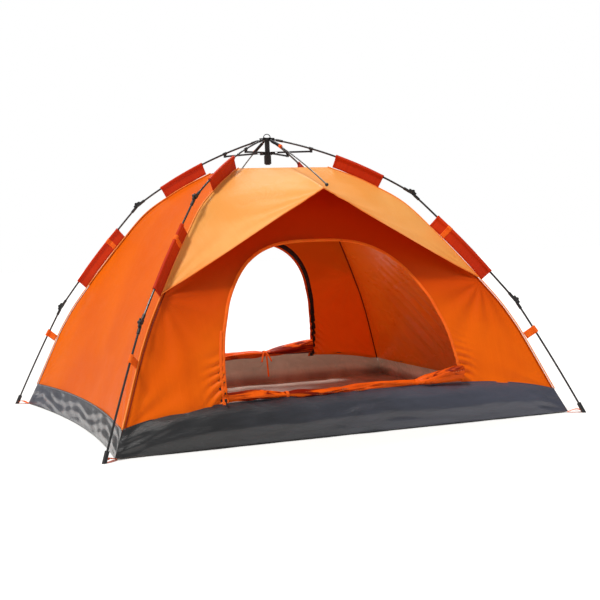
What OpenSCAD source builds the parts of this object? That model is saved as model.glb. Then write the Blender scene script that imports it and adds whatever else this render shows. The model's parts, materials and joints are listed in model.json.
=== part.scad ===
// Automatic dome tent: an umbrella hub on top, four legs of three rods joined by folding elbows,
// a canopy hung inside the legs, and a tub floor. +X runs along the front, +Y points to the back,
// and the origin is at the middle of the floor, on the ground.

/* [Footprint] */
// Distance between the left and right feet
foot_span_x = 2090; // [1600:10:2600]
// Distance between the front and rear feet
foot_span_y = 1890; // [1400:10:2400]
// Distance from each foot to the floor's corner, along the diagonal
foot_overhang = 64; // [40:1:120]

/* [Frame] */
// Height of the hinge pins in the hub
pin_z = 1247; // [1000:1:1600]
// Distance of the hinge pins from the hub's axis
pin_r = 30; // [30:1:40]
// Distance of the upper elbow from the hub's axis
elbow1_r = 681; // [500:1:800]
// Height of the upper elbow
elbow1_z = 971; // [800:1:1200]
// Distance of the lower elbow from the hub's axis
elbow2_r = 1128; // [950:1:1250]
// Height of the lower elbow
elbow2_z = 486; // [380:1:600]
// Bow of the upper rods
upper_bow = 30; // [10:1:50]
// Bow of the middle rods
middle_bow = 9; // [4:1:20]
// Bow of the lower rods
lower_bow = 5; // [3:1:12]
// Diameter of the leg rods
rod_d = 8.5; // [6:0.1:11]

/* [Elbows] */
// Distance of the elbow's pivot outside the rods' axis
elbow_offset = 10; // [9:0.5:13]
// Diameter of the sockets that hold the rods
socket_d = 13; // [12.5:0.1:14]
// Length of the sockets
socket_l = 30; // [20:1:45]
// Radius of the elbow's rivet
rivet_r = 2.5; // [1.5:0.1:3]
// Thickness of the tongue between the two cheeks
tongue_t = 5.4; // [4:0.1:6]
// Thickness of each cheek
cheek_t = 3; // [2:0.1:4]

/* [Hub] */
// Diameter of the hub's cap
hub_d = 72; // [70:1:94]
// Height of the hub's cap above its pins
hub_top = 7; // [6.8:0.1:12]
// Diameter of the centre post
post_d = 23; // [18:0.5:24]
// Length of the centre post, from the pins down
post_l = 112; // [100:1:150]
// Height of the struts' pins below the hub's pins
strut_drop = 60; // [58:1:66]
// Distance of the struts' outer pins from the hub's axis
clip_r = 205; // [195:1:215]
// Distance of the struts' inner pins from the hub's axis
runner_pin_r = 32; // [31:0.5:36]
// Diameter of the handle below the runner
handle_d = 33; // [30:0.5:40]
// Outside diameter of the pull ring
ring_d = 38; // [34:1:50]
// Thickness of the pull ring
ring_t = 4; // [3:0.5:6]

/* [Brow poles] */
// Distance of the brow poles' tips from the hub's axis
brow_reach = 664; // [520:1:760]
// Height of the brow poles' tips
brow_z = 1006; // [900:1:1100]
// Diameter of the brow poles
brow_rod_d = 6; // [4:0.1:8]
// Length of the coil spring in each brow pole
brow_spring_l = 95; // [60:1:140]
// Diameter of the coil spring
brow_spring_d = 14; // [11:0.5:16]

/* [Canopy] */
// Distance from the rods down to the canopy's corner seams
seam_gap = 56; // [45:1:75]
// Distance of the roof panel's corners from the hub's axis
roof_r = 290; // [240:1:380]
// Height of the roof panel
roof_z = 1104; // [1000:1:1112]
// Thickness of the canopy's fabric
fabric_t = 2; // [1:0.1:4]
// Height of the tub's seam at the corners
tub_z = 100; // [70:1:140]
// Distance of the tub's seam outside the floor's corner, inwards
tub_lean = 60; // [40:1:80]
// Half the width of each doorway at its sill
door_half = 525; // [400:1:560]
// Height of the door's sill
door_sill = 165; // [145:1:220]
// Height of the door's top
door_top = 778; // [650:1:830]
// Diameter of the rolled doors
roll_d = 46; // [30:1:60]

/* [Sleeves and webbing] */
// Thickness of the sleeves and the webbing
webbing_t = 2; // [1:0.1:3]
// Length of the sleeves on the upper rods
upper_sleeve_l = 240; // [150:1:300]
// Length of the sleeves on the middle rods
middle_sleeve_l = 335; // [220:1:420]
// Width of the straps on the lower rods
strap_w = 30; // [20:1:50]
// Width of the tabs at the floor's corners
tab_w = 25; // [20:1:40]

/* [Hidden] */
fit_gap = 0.05;        // between a rod or rivet and its own bore
run_gap = 0.1;         // between a rivet and the bore that turns on it
side_gap = 0.5;        // beside a plate or strut that turns between two others
soft_gap = 1.5;        // between fabric and whatever moves past it
edge_gap = 4;          // from a sleeve to the canopy's seam
socket_stop = 14;      // from an elbow's pivot to the nearest end of a socket
rod_stop = 20;         // from an elbow's pivot to the end of a rod
cheek_r = 7;           // round end of cheeks and tongues
cheek_rise = 2.5;      // how far cheeks and tongues stand above the pivot's line
rivet_head_t = 1.5;    // thickness of a rivet's head
rivet_head_rim = 2;    // how far the head stands out from the rivet
eye_r = 4.5;           // round eye of a leg in the hub
eye_t = 8;             // width of that eye
eye_reach = 22;        // from the hub's pin to the start of the rod in its socket
eye_end = 48;          // from the hub's pin to the end of that socket
eye_wall = 6;          // thickness of the socket's closed end
pin_wire_r = 2;        // hinge pins in the hub
strut_pin_r = 1.5;     // pins at both ends of a strut
strut_h = 8;           // height of a strut
strut_t = 5;           // thickness of a strut
strut_slot_h = 5.4;    // height of the slot at a strut's inner end
strut_slot_l = 15.3;   // length of that slot
runner_lug_t = 3;      // thickness of the lugs that hold a strut
clip_hang = 13;        // from the rod's axis down to the clip's pin
clip_l = 18;           // length of the clip's ring along the rod
clip_wall = 2.5;       // thickness of that ring
clip_lug_t = 2;        // thickness of the clip's two lugs
clip_lug_w = 10;       // width of those lugs
post_gap = 0.3;        // round the post in the runner
upper_sleeve_start = 0.447;  // where the sleeves begin, as a share of their rods
middle_sleeve_start = 0.24;
strap_share = 0.27;    // where the straps are, as a share of the lower rods
peak_in = 34;          // from a brow pole's tip in to the awning's peak
peak_down = 12;        // and down to it
roll_in = 34;          // from the tub's seam in to a rolled door
roll_sink = 14;        // how far the roll hangs below its sill
ring_pin_r = 1.5;      // cross pin of the pull ring
foot_top = 46;         // height of the foot above the ground
foot_d = 18;           // diameter of the foot
$fn = 48;

LEGS = ["front_left", "front_right", "rear_left", "rear_right"];
ENDS = ["front", "rear"];
diagonal = atan2(foot_span_y, foot_span_x);
LEG_TURN = [180 + diagonal, -diagonal, 180 - diagonal, diagonal];
END_TURN = [-90, 90];
foot_r = norm([foot_span_x, foot_span_y]) / 2;
corner_r = foot_r - foot_overhang;

// Everything about a leg is worked out in its own upright plane: [distance from the axis, height].
hub_pin = [pin_r, pin_z];
elbow1 = [elbow1_r, elbow1_z];
elbow2 = [elbow2_r, elbow2_z];
foot_point = [foot_r, 0];
brow_tip_point = [brow_reach, brow_z];

function heading(a, b) = atan2(b[1] - a[1], b[0] - a[0]);
function toward(angle) = [cos(angle), sin(angle)];
function outward(angle) = [-sin(angle), cos(angle)];
function arc_radius(a, b, bow) = pow(norm(b - a), 2) / (8 * bow) + bow / 2;
function half_sweep(a, b, bow) = asin(norm(b - a) / 2 / arc_radius(a, b, bow));
function start_heading(a, b, bow) = heading(a, b) + half_sweep(a, b, bow);
function end_heading(a, b, bow) = heading(a, b) - half_sweep(a, b, bow);
function arc_centre(a, b, bow) =
    (a + b) / 2 - outward(heading(a, b)) * (arc_radius(a, b, bow) - bow);
// The point a share t of the way along the arc, moved in by gap
function arc_point(a, b, bow, t, gap = 0) =
    arc_centre(a, b, bow)
    + (arc_radius(a, b, bow) - gap) * toward(start_heading(a, b, bow) + 90
    - 2 * t * half_sweep(a, b, bow));
function pivot(point, before, after) = point + elbow_offset * outward((before + after) / 2);

upper_end = end_heading(hub_pin, elbow1, upper_bow);
middle_start = start_heading(elbow1, elbow2, middle_bow);
middle_end = end_heading(elbow1, elbow2, middle_bow);
lower_start = start_heading(elbow2, foot_point, lower_bow);
lower_end = end_heading(elbow2, foot_point, lower_bow);
pivot1 = pivot(elbow1, upper_end, middle_start);
pivot2 = pivot(elbow2, middle_end, lower_start);

// A point in a leg's or a brow pole's plane, and a point of the canopy, in space
function in_space(p, turn) = [p[0] * cos(turn), p[0] * sin(turn), p[1]];

// The canopy's corner seam hangs seam_gap inside the rods, from the roof panel to the tub
tub_point = [corner_r - tub_lean, tub_z];
function seam(gap) = [
    [roof_r - gap + seam_gap, roof_z - (gap - seam_gap)],
    for (t = [0.62, 0.78, 0.93]) arc_point(hub_pin, elbow1, upper_bow, t, gap),
    for (t = [0.08, 0.28, 0.5, 0.72, 0.92]) arc_point(elbow1, elbow2, middle_bow, t, gap),
    arc_point(elbow2, foot_point, lower_bow, 0.1, gap),
    arc_point(elbow2, foot_point, lower_bow, strap_share, gap),
    tub_point - (gap - seam_gap) * [1, 0]
];
brim_row = 7; // the row of the seam where the awning's brim meets it

// A rod bowed between two points of a leg's plane, with its ends cut short
module bowed_rod(a, b, bow, d, cut_a, cut_b) {
    radius = arc_radius(a, b, bow);
    first = end_heading(a, b, bow) + 90 + cut_b / radius * 180 / PI;
    last = start_heading(a, b, bow) + 90 - cut_a / radius * 180 / PI;
    translate(arc_centre(a, b, bow))
        rotate([0, 0, first])
            rotate_extrude(angle = last - first, $fn = 360)
                translate([radius, 0])
                    circle(d = d, $fn = 32);
}

// A leg's plane stood upright at one of the four corners, or a brow pole's over a door
module in_plane(turn) {
    rotate([0, 0, turn])
        rotate([90, 0, 0])
            children();
}

// A cylinder along the tangent of a rod
module along(point, angle, from, to, d) {
    translate(point)
        rotate([0, 0, angle])
            translate([from, 0, 0])
                rotate([0, 90, 0])
                    cylinder(h = to - from, d = d);
}

// A flat plate of an elbow: round about the pivot, straight down to its socket
module elbow_plate(reach, t) {
    linear_extrude(t)
        union() {
            circle(r = cheek_r);
            translate([min(0, reach), -elbow_offset - socket_d / 2 + 1])
                square([abs(reach), elbow_offset + socket_d / 2 - 1 + cheek_rise]);
        }
}

// A socket beside a pivot, still solid; side is -1 before and 1 after it
module elbow_socket(side) {
    translate([min(side * socket_stop, side * (socket_stop + socket_l)), -elbow_offset, 0])
        rotate([0, 90, 0])
            cylinder(h = socket_l, d = socket_d);
}

// The bore that a bowed rod makes in its fittings
module rod_bore(a, b, bow, cut_a, cut_b) {
    bowed_rod(a, b, bow, rod_d + 2 * fit_gap, cut_a, cut_b);
}

// The forked half of an elbow, on the rod above it
module elbow_fork(at, angle) {
    translate(at)
        rotate([0, 0, angle])
            difference() {
                union() {
                    for (low = [tongue_t / 2 + side_gap, -tongue_t / 2 - side_gap - cheek_t])
                        translate([0, 0, low])
                            elbow_plate(-(rod_stop - 1), cheek_t);
                    elbow_socket(-1);
                }
                cylinder(h = 40, r = rivet_r, center = true);
            }
}

// The tongue half of an elbow, on the rod below it
module elbow_tongue(at, angle) {
    translate(at)
        rotate([0, 0, angle])
            difference() {
                union() {
                    translate([0, 0, -tongue_t / 2])
                        elbow_plate(rod_stop - 1, tongue_t);
                    elbow_socket(1);
                }
                cylinder(h = 40, r = rivet_r + run_gap, center = true);
            }
}

// A rivet through an elbow, with a low head on each side
module elbow_rivet(at) {
    half = tongue_t / 2 + side_gap + cheek_t + fit_gap;
    translate(at) {
        cylinder(h = 2 * half, r = rivet_r - fit_gap, center = true);
        for (side = [-1, 1])
            translate([0, 0, side * (half + rivet_head_t / 2)])
                cylinder(h = rivet_head_t, r = rivet_r + rivet_head_rim, center = true);
    }
}

// The eye that hangs a leg or a brow pole on its pin in the hub, with a socket still solid
module hub_eye(angle, socket, rod_from, to) {
    difference() {
        union() {
            translate(hub_pin)
                cylinder(h = eye_t, r = eye_r, center = true);
            along(hub_pin, angle, 0, rod_from, eye_t - 0.5);
            along(hub_pin, angle, rod_from - eye_wall, to, socket);
        }
        translate(hub_pin)
            cylinder(h = 2 * eye_t, r = pin_wire_r + run_gap, center = true);
    }
}

// ---- Legs ----
module upper_pole(i) {
    color("#1a1a1c")
        in_plane(LEG_TURN[i])
            bowed_rod(hub_pin, elbow1, upper_bow, rod_d, eye_reach, rod_stop);
}

clip_share = (clip_r - pin_r) / (elbow1_r - pin_r);
clip_on_rod = arc_point(hub_pin, elbow1, upper_bow, clip_share);
clip_pin = clip_on_rod - [0, clip_hang];
clip_heading = start_heading(hub_pin, elbow1, upper_bow)
    - 2 * clip_share * half_sweep(hub_pin, elbow1, upper_bow);

// The clip on a leg that carries the strut: a clamp ring with two lugs and a pin between them
module strut_clip() {
    difference() {
        union() {
            along(clip_on_rod, clip_heading, -clip_l / 2, clip_l / 2, rod_d + 2 * clip_wall);
            for (low = [strut_t / 2 + side_gap, -strut_t / 2 - side_gap - clip_lug_t])
                translate([clip_pin[0] - clip_lug_w / 2, clip_pin[1] - clip_lug_w / 2, low])
                    cube([clip_lug_w, clip_hang + 4, clip_lug_t]);
        }
        along(clip_on_rod, clip_heading, -clip_l, clip_l, rod_d + 2 * fit_gap);
    }
    translate(clip_pin)
        cylinder(h = strut_t + 2 * side_gap + clip_lug_t, r = strut_pin_r, center = true);
}

module upper_fittings(i) {
    color("#0e0e10")
        in_plane(LEG_TURN[i]) {
            difference() {
                union() {
                    hub_eye(start_heading(hub_pin, elbow1, upper_bow), socket_d - 1, eye_reach, eye_end);
                    elbow_fork(pivot1, upper_end);
                }
                rod_bore(hub_pin, elbow1, upper_bow, eye_reach, rod_stop);
            }
            strut_clip();
            elbow_rivet(pivot1);
        }
}

module middle_pole(i) {
    color("#1a1a1c")
        in_plane(LEG_TURN[i])
            bowed_rod(elbow1, elbow2, middle_bow, rod_d, rod_stop, rod_stop);
}

module middle_fittings(i) {
    color("#0e0e10")
        in_plane(LEG_TURN[i]) {
            difference() {
                union() {
                    elbow_tongue(pivot1, middle_start);
                    elbow_fork(pivot2, middle_end);
                }
                rod_bore(elbow1, elbow2, middle_bow, rod_stop, rod_stop);
            }
            elbow_rivet(pivot2);
        }
}

module lower_pole(i) {
    color("#1a1a1c")
        in_plane(LEG_TURN[i])
            bowed_rod(elbow2, foot_point, lower_bow, rod_d, rod_stop, foot_top / 2);
}

module lower_fitting(i) {
    color("#0e0e10")
        in_plane(LEG_TURN[i])
            difference() {
                elbow_tongue(pivot2, lower_start);
                rod_bore(elbow2, foot_point, lower_bow, rod_stop, foot_top / 2);
            }
}

// The foot: a moulded cup over the rod's end, cut flat on the ground
module foot(i) {
    color("#0e0e10")
        in_plane(LEG_TURN[i])
            difference() {
                along(foot_point, lower_end, -foot_top, foot_d / 2, foot_d);
                rod_bore(elbow2, foot_point, lower_bow, rod_stop, foot_top / 2);
                translate([foot_r - 100, -100, -50])
                    cube([200, 100, 100]);
            }
}

strut_in = [runner_pin_r, pin_z - strut_drop];
strut_out = clip_pin;
strut_len = norm(strut_out - strut_in);

// A strut from the runner to a leg; its inner end is slotted, so that it can toggle
module strut(i) {
    color("#141416")
        in_plane(LEG_TURN[i])
            translate(strut_in)
                rotate([0, 0, heading(strut_in, strut_out)])
                    difference() {
                        linear_extrude(strut_t, center = true) {
                            translate([0, -strut_h / 2])
                                square([strut_len, strut_h]);
                            circle(d = strut_h);
                            translate([strut_len, 0])
                                circle(d = strut_h);
                        }
                        cylinder(h = 20, d = strut_slot_h, center = true);
                        translate([strut_slot_l, 0, 0])
                            cylinder(h = 20, d = strut_slot_h, center = true);
                        translate([0, -strut_slot_h / 2, -10])
                            cube([strut_slot_l, strut_slot_h, 20]);
                        translate([strut_len, 0, 0])
                            cylinder(h = 20, r = strut_pin_r + run_gap, center = true);
                    }
}

// ---- Hub ----
slot_w = eye_t + 1;
HUB_TURNS = concat(LEG_TURN, END_TURN);

// The cap: a disc over the pins, slotted from below for each leg and brow pole
module hub_cap() {
    color("#101012")
        difference() {
            union() {
                translate([0, 0, pin_z - 3])
                    cylinder(h = hub_top + 2, d = hub_d - 4);
                translate([0, 0, pin_z + hub_top - 2])
                    cylinder(h = 2, d = hub_d);
                for (side = [-1, 1])
                    translate([side * (ring_d / 2 - ring_t - 3) - 2, -4, pin_z + hub_top - 1])
                        cube([4, 8, 5.5]);
            }
            for (turn = HUB_TURNS)
                rotate([0, 0, turn])
                    translate([pin_r - eye_r - 4, -slot_w / 2, pin_z - 20])
                        cube([hub_d, slot_w, 20 + eye_r + 1]);
            for (turn = HUB_TURNS)
                in_plane(turn)
                    translate(hub_pin)
                        cylinder(h = 17, r = pin_wire_r + fit_gap, center = true);
            translate([0, 0, pin_z + hub_top + 2])
                rotate([0, 90, 0])
                    cylinder(h = ring_d + 10, r = ring_pin_r + run_gap, center = true);
        }
}

module hub_post() {
    color("#151517")
        translate([0, 0, pin_z - 3 - post_l])
            cylinder(h = post_l, d = post_d);
}

// One steel pin for each leg and brow pole, across its slot
module hinge_pins() {
    color("#8a8c90")
        for (turn = HUB_TURNS)
            in_plane(turn)
                translate(hub_pin)
                    cylinder(h = 16, r = pin_wire_r, center = true);
}

// The runner on the post: a sleeve with a pair of lugs for each strut, and a handle below
module runner() {
    top = pin_z - strut_drop;
    bottom = pin_z - 3 - post_l + 4;
    lug_from = post_d / 2 + 0.6;
    color("#121214")
        difference() {
            union() {
                translate([0, 0, bottom])
                    cylinder(h = top - 12 - bottom, d = handle_d);
                translate([0, 0, top - 13])
                    cylinder(h = 17, d = post_d + 2.4);
                for (turn = LEG_TURN)
                    in_plane(turn)
                        for (low = [strut_t / 2 + side_gap, -strut_t / 2 - side_gap - runner_lug_t])
                            translate([lug_from, top - 9, low])
                                cube([runner_pin_r + 3.5 - lug_from, 13, runner_lug_t]);
            }
            translate([0, 0, bottom - 1])
                cylinder(h = post_l, d = post_d + 2 * post_gap);
            for (turn = LEG_TURN)
                in_plane(turn)
                    translate([0, top - 11.9, -strut_t / 2 - side_gap])
                        cube([60, 30, strut_t + 2 * side_gap]);
        }
    color("#8a8c90")
        for (turn = LEG_TURN)
            in_plane(turn)
                translate(strut_in)
                    cylinder(h = strut_t + 1.2 + 2 * runner_lug_t, r = strut_pin_r, center = true);
}

ring_hinge_z = pin_z + hub_top + 2;
ring_r = (ring_d - ring_t) / 2;

// The pull ring on top, a bail that swings between the cap's two lugs
module pull_ring() {
    color("#202022")
        translate([0, 0, ring_hinge_z])
            rotate([90, 0, 0]) {
                rotate_extrude(angle = 180)
                    translate([ring_r, 0])
                        circle(d = ring_t, $fn = 32);
                rotate([0, 90, 0])
                    cylinder(h = 2 * ring_r, r = ring_pin_r, center = true);
                for (side = [-1, 1])
                    translate([side * ring_r, 0, 0])
                        sphere(d = ring_t, $fn = 32);
            }
}

// ---- Brow poles ----
brow_bow = 12;
brow_heading = start_heading(hub_pin, brow_tip_point, brow_bow);
spring_from = eye_end - 26;
spring_to = spring_from + 26 + brow_spring_l;

module brow_pole(i) {
    color("#1a1a1c")
        in_plane(END_TURN[i])
            bowed_rod(hub_pin, brow_tip_point, brow_bow, brow_rod_d, spring_from, 6);
}

// The eye in the hub and the close-wound spring over the start of the pole
module brow_spring(i) {
    wire = 2.4;
    turns = floor(brow_spring_l / wire);
    centre = arc_centre(hub_pin, brow_tip_point, brow_bow);
    radius = arc_radius(hub_pin, brow_tip_point, brow_bow);
    color("#2a2a2d")
        in_plane(END_TURN[i]) {
            difference() {
                union() {
                    translate(hub_pin)
                        cylinder(h = eye_t, r = eye_r, center = true);
                    along(hub_pin, brow_heading, 0, spring_from, eye_t - 0.5);
                    along(hub_pin, brow_heading, spring_from - 6, spring_from + 12, brow_spring_d - 2);
                }
                translate(hub_pin)
                    cylinder(h = 2 * eye_t, r = pin_wire_r + run_gap, center = true);
                bowed_rod(hub_pin, brow_tip_point, brow_bow, brow_rod_d + 2 * fit_gap, spring_from, 6);
            }
            translate(centre)
                rotate([0, 0, brow_heading + 90 - spring_to / radius * 180 / PI])
                    rotate_extrude(angle = (spring_to - spring_from - 14) / radius * 180 / PI, $fn = 360)
                        translate([radius, 0])
                            difference() {
                                circle(d = brow_spring_d);
                                circle(d = brow_rod_d + 2 * fit_gap);
                            }
        }
}

// The ball that pushes the awning's peak up
module brow_ball(i) {
    color("#0e0e10")
        in_plane(END_TURN[i])
            translate(brow_tip_point)
                difference() {
                    sphere(d = 15);
                    rotate([0, 0, end_heading(hub_pin, brow_tip_point, brow_bow)])
                        rotate([0, 90, 0])
                            translate([0, 0, -16])
                                cylinder(h = 10, d = brow_rod_d + 2 * fit_gap);
                }
}

// ---- Canopy ----
// A closed skin between an outer and an inner grid of points, both rows by columns
module skin(outer, inner) {
    rows = len(outer);
    cols = len(outer[0]);
    count = rows * cols;
    points = concat([for (row = outer) each row], [for (row = inner) each row]);
    function at(r, c) = r * cols + c;
    top_faces = [for (r = [0 : rows - 2]) for (c = [0 : cols - 2])
        each [[at(r, c), at(r, c + 1), at(r + 1, c + 1)], [at(r, c), at(r + 1, c + 1), at(r + 1, c)]]];
    under_faces = [for (f = top_faces) [f[2] + count, f[1] + count, f[0] + count]];
    border = concat([for (c = [0 : cols - 1]) at(0, c)], [for (r = [1 : rows - 1]) at(r, cols - 1)],
        [for (c = [cols - 2 : -1 : 0]) at(rows - 1, c)], [for (r = [rows - 2 : -1 : 1]) at(r, 0)]);
    n = len(border);
    side_faces = [for (k = [0 : n - 1]) let (a = border[k], b = border[(k + 1) % n])
        each [[b, a, a + count], [b, a + count, b + count]]];
    polyhedron(points = points, faces = concat(top_faces, under_faces, side_faces));
}

// One wall between two corner seams, mitred to its neighbours
module wall(turn_a, turn_b, cols) {
    function grid(gap) = [for (p = seam(gap))
        [for (c = [0 : cols]) in_space(p, turn_a) * (1 - c / cols) + in_space(p, turn_b) * c / cols]];
    skin(grid(seam_gap), grid(seam_gap + fabric_t));
}

module roof_panel() {
    color("#e8742a")
        translate([0, 0, roof_z + 0.2])
            linear_extrude(fabric_t)
                polygon([for (i = [0, 1, 3, 2]) roof_r * toward(LEG_TURN[i])]);
}

module left_wall() {
    color("#dc5f1e")
        wall(LEG_TURN[2], LEG_TURN[0], 1);
}

module right_wall() {
    color("#dc5f1e")
        wall(LEG_TURN[1], LEG_TURN[3], 1);
}

// The outline of a doorway: at a share u of its height it is half the sill's width times the cube
// root of 1 - u * u, so that the jambs lean in a little and the top is round
module door_outline() {
    steps = 24;
    jamb = [for (k = [0 : steps]) let (u = sin(90 * k / steps))
        [door_half * pow(1 - u * u, 1 / 3), door_sill + (door_top - door_sill) * u]];
    polygon(concat(jamb, [for (k = [steps - 1 : -1 : 0]) [-jamb[k][0], jamb[k][1]]]));
}

module door_wall(turn_a, turn_b, side) {
    difference() {
        wall(turn_a, turn_b, 1);
        translate([0, side > 0 ? foot_span_y / 2 : -100, 0])
            rotate([90, 0, 0])
                linear_extrude(foot_span_y / 2 - 100)
                    door_outline();
    }
}

module front_wall() {
    color("#b8401a")
        door_wall(LEG_TURN[0], LEG_TURN[1], -1);
}

module rear_wall() {
    color("#b8401a")
        door_wall(LEG_TURN[3], LEG_TURN[2], 1);
}

// An awning stretched from the corner seams to the ridge under its brow pole
awning_peak = [brow_reach - peak_in, brow_z - peak_down];
awning_lift = 1;
module awning(turn_a, turn_b, turn_mid) {
    rows = [for (k = [0 : brim_row]) seam(seam_gap - awning_lift)[k]];
    upper_rows = [for (k = [0 : brim_row]) seam(seam_gap - awning_lift - fabric_t)[k]];
    // the ridge starts at the middle of the roof's edge, which is nearer the axis than its corners
    start = [roof_r * abs(cos(turn_mid - turn_a)) + awning_lift, roof_z + 1];
    function ridge(k, lift) = start + (awning_peak - start) * k / brim_row
        + [0, lift + 10 * sin(180 * k / brim_row)];
    function line(list, lift) = [for (k = [0 : brim_row])
        [in_space(list[k], turn_a), in_space(ridge(k, lift), turn_mid), in_space(list[k], turn_b)]];
    skin(line(upper_rows, fabric_t), line(rows, 0));
}

module front_awning() {
    color("#f0892f")
        awning(LEG_TURN[0], LEG_TURN[1], -90);
}

module rear_awning() {
    color("#f0892f")
        awning(LEG_TURN[3], LEG_TURN[2], 90);
}

module groundsheet() {
    color("#77787c")
        linear_extrude(fabric_t - 0.2)
            polygon([for (i = [0, 1, 3, 2]) corner_r * toward(LEG_TURN[i])]);
}

// The tub's four low sides, one closed band from the floor's edge to the canopy's seam
module tub_skirt() {
    low = [corner_r, fabric_t];
    high = tub_point - [0, 0.4];
    inner = [1.5 * fabric_t, 0];
    ring = [high, low, low - inner, high - inner];
    turns = [for (i = [0, 1, 3, 2]) LEG_TURN[i]];
    color("#66686e")
        polyhedron(
            points = [for (turn = turns) for (p = ring) in_space(p, turn)],
            faces = [for (s = [0 : 3]) for (k = [0 : 3])
                let (a = 4 * s, b = 4 * ((s + 1) % 4), n = (k + 1) % 4)
                    [a + k, b + k, b + n, a + n]]);
}

// A door rolled up and tied along its sill
sill_y = (corner_r - tub_lean) * sin(diagonal) - roll_d / 2 - roll_in;
module door_roll(side) {
    color("#d9571c")
        translate([0, side * sill_y, door_sill + roll_d / 2 - roll_sink])
            rotate([0, 90, 0])
                cylinder(h = 2 * door_half - 60, d = roll_d, center = true);
}

module front_door_roll() {
    door_roll(-1);
}

module rear_door_roll() {
    door_roll(1);
}

// A zip slider at the foot of a jamb, clear of the wall all the way up
jamb_low = arc_point(elbow2, foot_point, lower_bow, 0.6, seam_gap);
jamb_high = arc_point(elbow2, foot_point, lower_bow, 0.08, seam_gap);
jamb_lean = heading(jamb_low * [[sin(diagonal), 0], [0, 1]], jamb_high * [[sin(diagonal), 0], [0, 1]]);
module zip_slider(side) {
    color("#1c1c1e")
        translate([side * (door_half + 12), side * (jamb_low[0] * sin(diagonal) + 9), jamb_low[1]])
            rotate([side * (jamb_lean - 90), 0, 0])
                union() {
                    translate([-4.5, -2.5, 0])
                        cube([9, 5, 12]);
                    translate([-2, side * 2.5 - 1, -20])
                        cube([4, 2, 22]);
                }
}

module front_zip_slider() {
    zip_slider(-1);
}

module rear_zip_slider() {
    zip_slider(1);
}

// ---- Sleeves and webbing ----
// A flat fin between a rod and the corner seam, from one share of the rod to another
module fin(a, b, bow, from, to, d) {
    steps = 6;
    shares = [for (k = [0 : steps]) from + (to - from) * k / steps];
    near_rod = [for (t = shares) arc_point(a, b, bow, t, d / 2 + soft_gap)];
    near_seam = [for (k = [steps : -1 : 0]) arc_point(a, b, bow, shares[k], seam_gap - edge_gap)];
    linear_extrude(webbing_t, center = true)
        polygon(concat(near_rod, near_seam));
}

upper_sleeve_share = [upper_sleeve_start, upper_sleeve_start + upper_sleeve_l / norm(elbow1 - hub_pin)];
middle_sleeve_share = [middle_sleeve_start, middle_sleeve_start + middle_sleeve_l / norm(elbow2 - elbow1)];

module upper_sleeves() {
    color("#a52a12")
        for (turn = LEG_TURN)
            in_plane(turn)
                fin(hub_pin, elbow1, upper_bow, upper_sleeve_share[0], upper_sleeve_share[1], rod_d);
}

module middle_sleeves() {
    color("#a52a12")
        for (turn = LEG_TURN)
            in_plane(turn)
                fin(elbow1, elbow2, middle_bow, middle_sleeve_share[0], middle_sleeve_share[1], rod_d);
}

module lower_straps() {
    half = strap_w / 2 / norm(foot_point - elbow2);
    color("#f2641a")
        for (turn = LEG_TURN)
            in_plane(turn)
                fin(elbow2, foot_point, lower_bow, strap_share - half, strap_share + half, rod_d);
}

// A webbing tab from each corner of the floor to its foot
module corner_tabs() {
    color("#f2641a")
        for (turn = LEG_TURN)
            rotate([0, 0, turn])
                translate([corner_r + 2, -tab_w / 2, 0])
                    cube([foot_overhang - foot_d / 2 - 6, tab_w, webbing_t]);
}

function leg_nodes(part) = [for (leg = LEGS) str(leg, part)];

for (i = [0 : 3]) {
    upper_pole(i);
    upper_fittings(i);
    middle_pole(i);
    middle_fittings(i);
    lower_pole(i);
    lower_fitting(i);
    foot(i);
    strut(i);
}
for (i = [0 : 1]) {
    brow_pole(i);
    brow_spring(i);
    brow_ball(i);
}
hub_cap();
hub_post();
hinge_pins();
runner();
pull_ring();
roof_panel();
left_wall();
right_wall();
front_wall();
rear_wall();
front_awning();
rear_awning();
groundsheet();
tub_skirt();
front_door_roll();
rear_door_roll();
front_zip_slider();
rear_zip_slider();
upper_sleeves();
middle_sleeves();
lower_straps();
corner_tabs();
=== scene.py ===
import json
import math

import bpy
import numpy as np
from mathutils import Matrix, Vector


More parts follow.
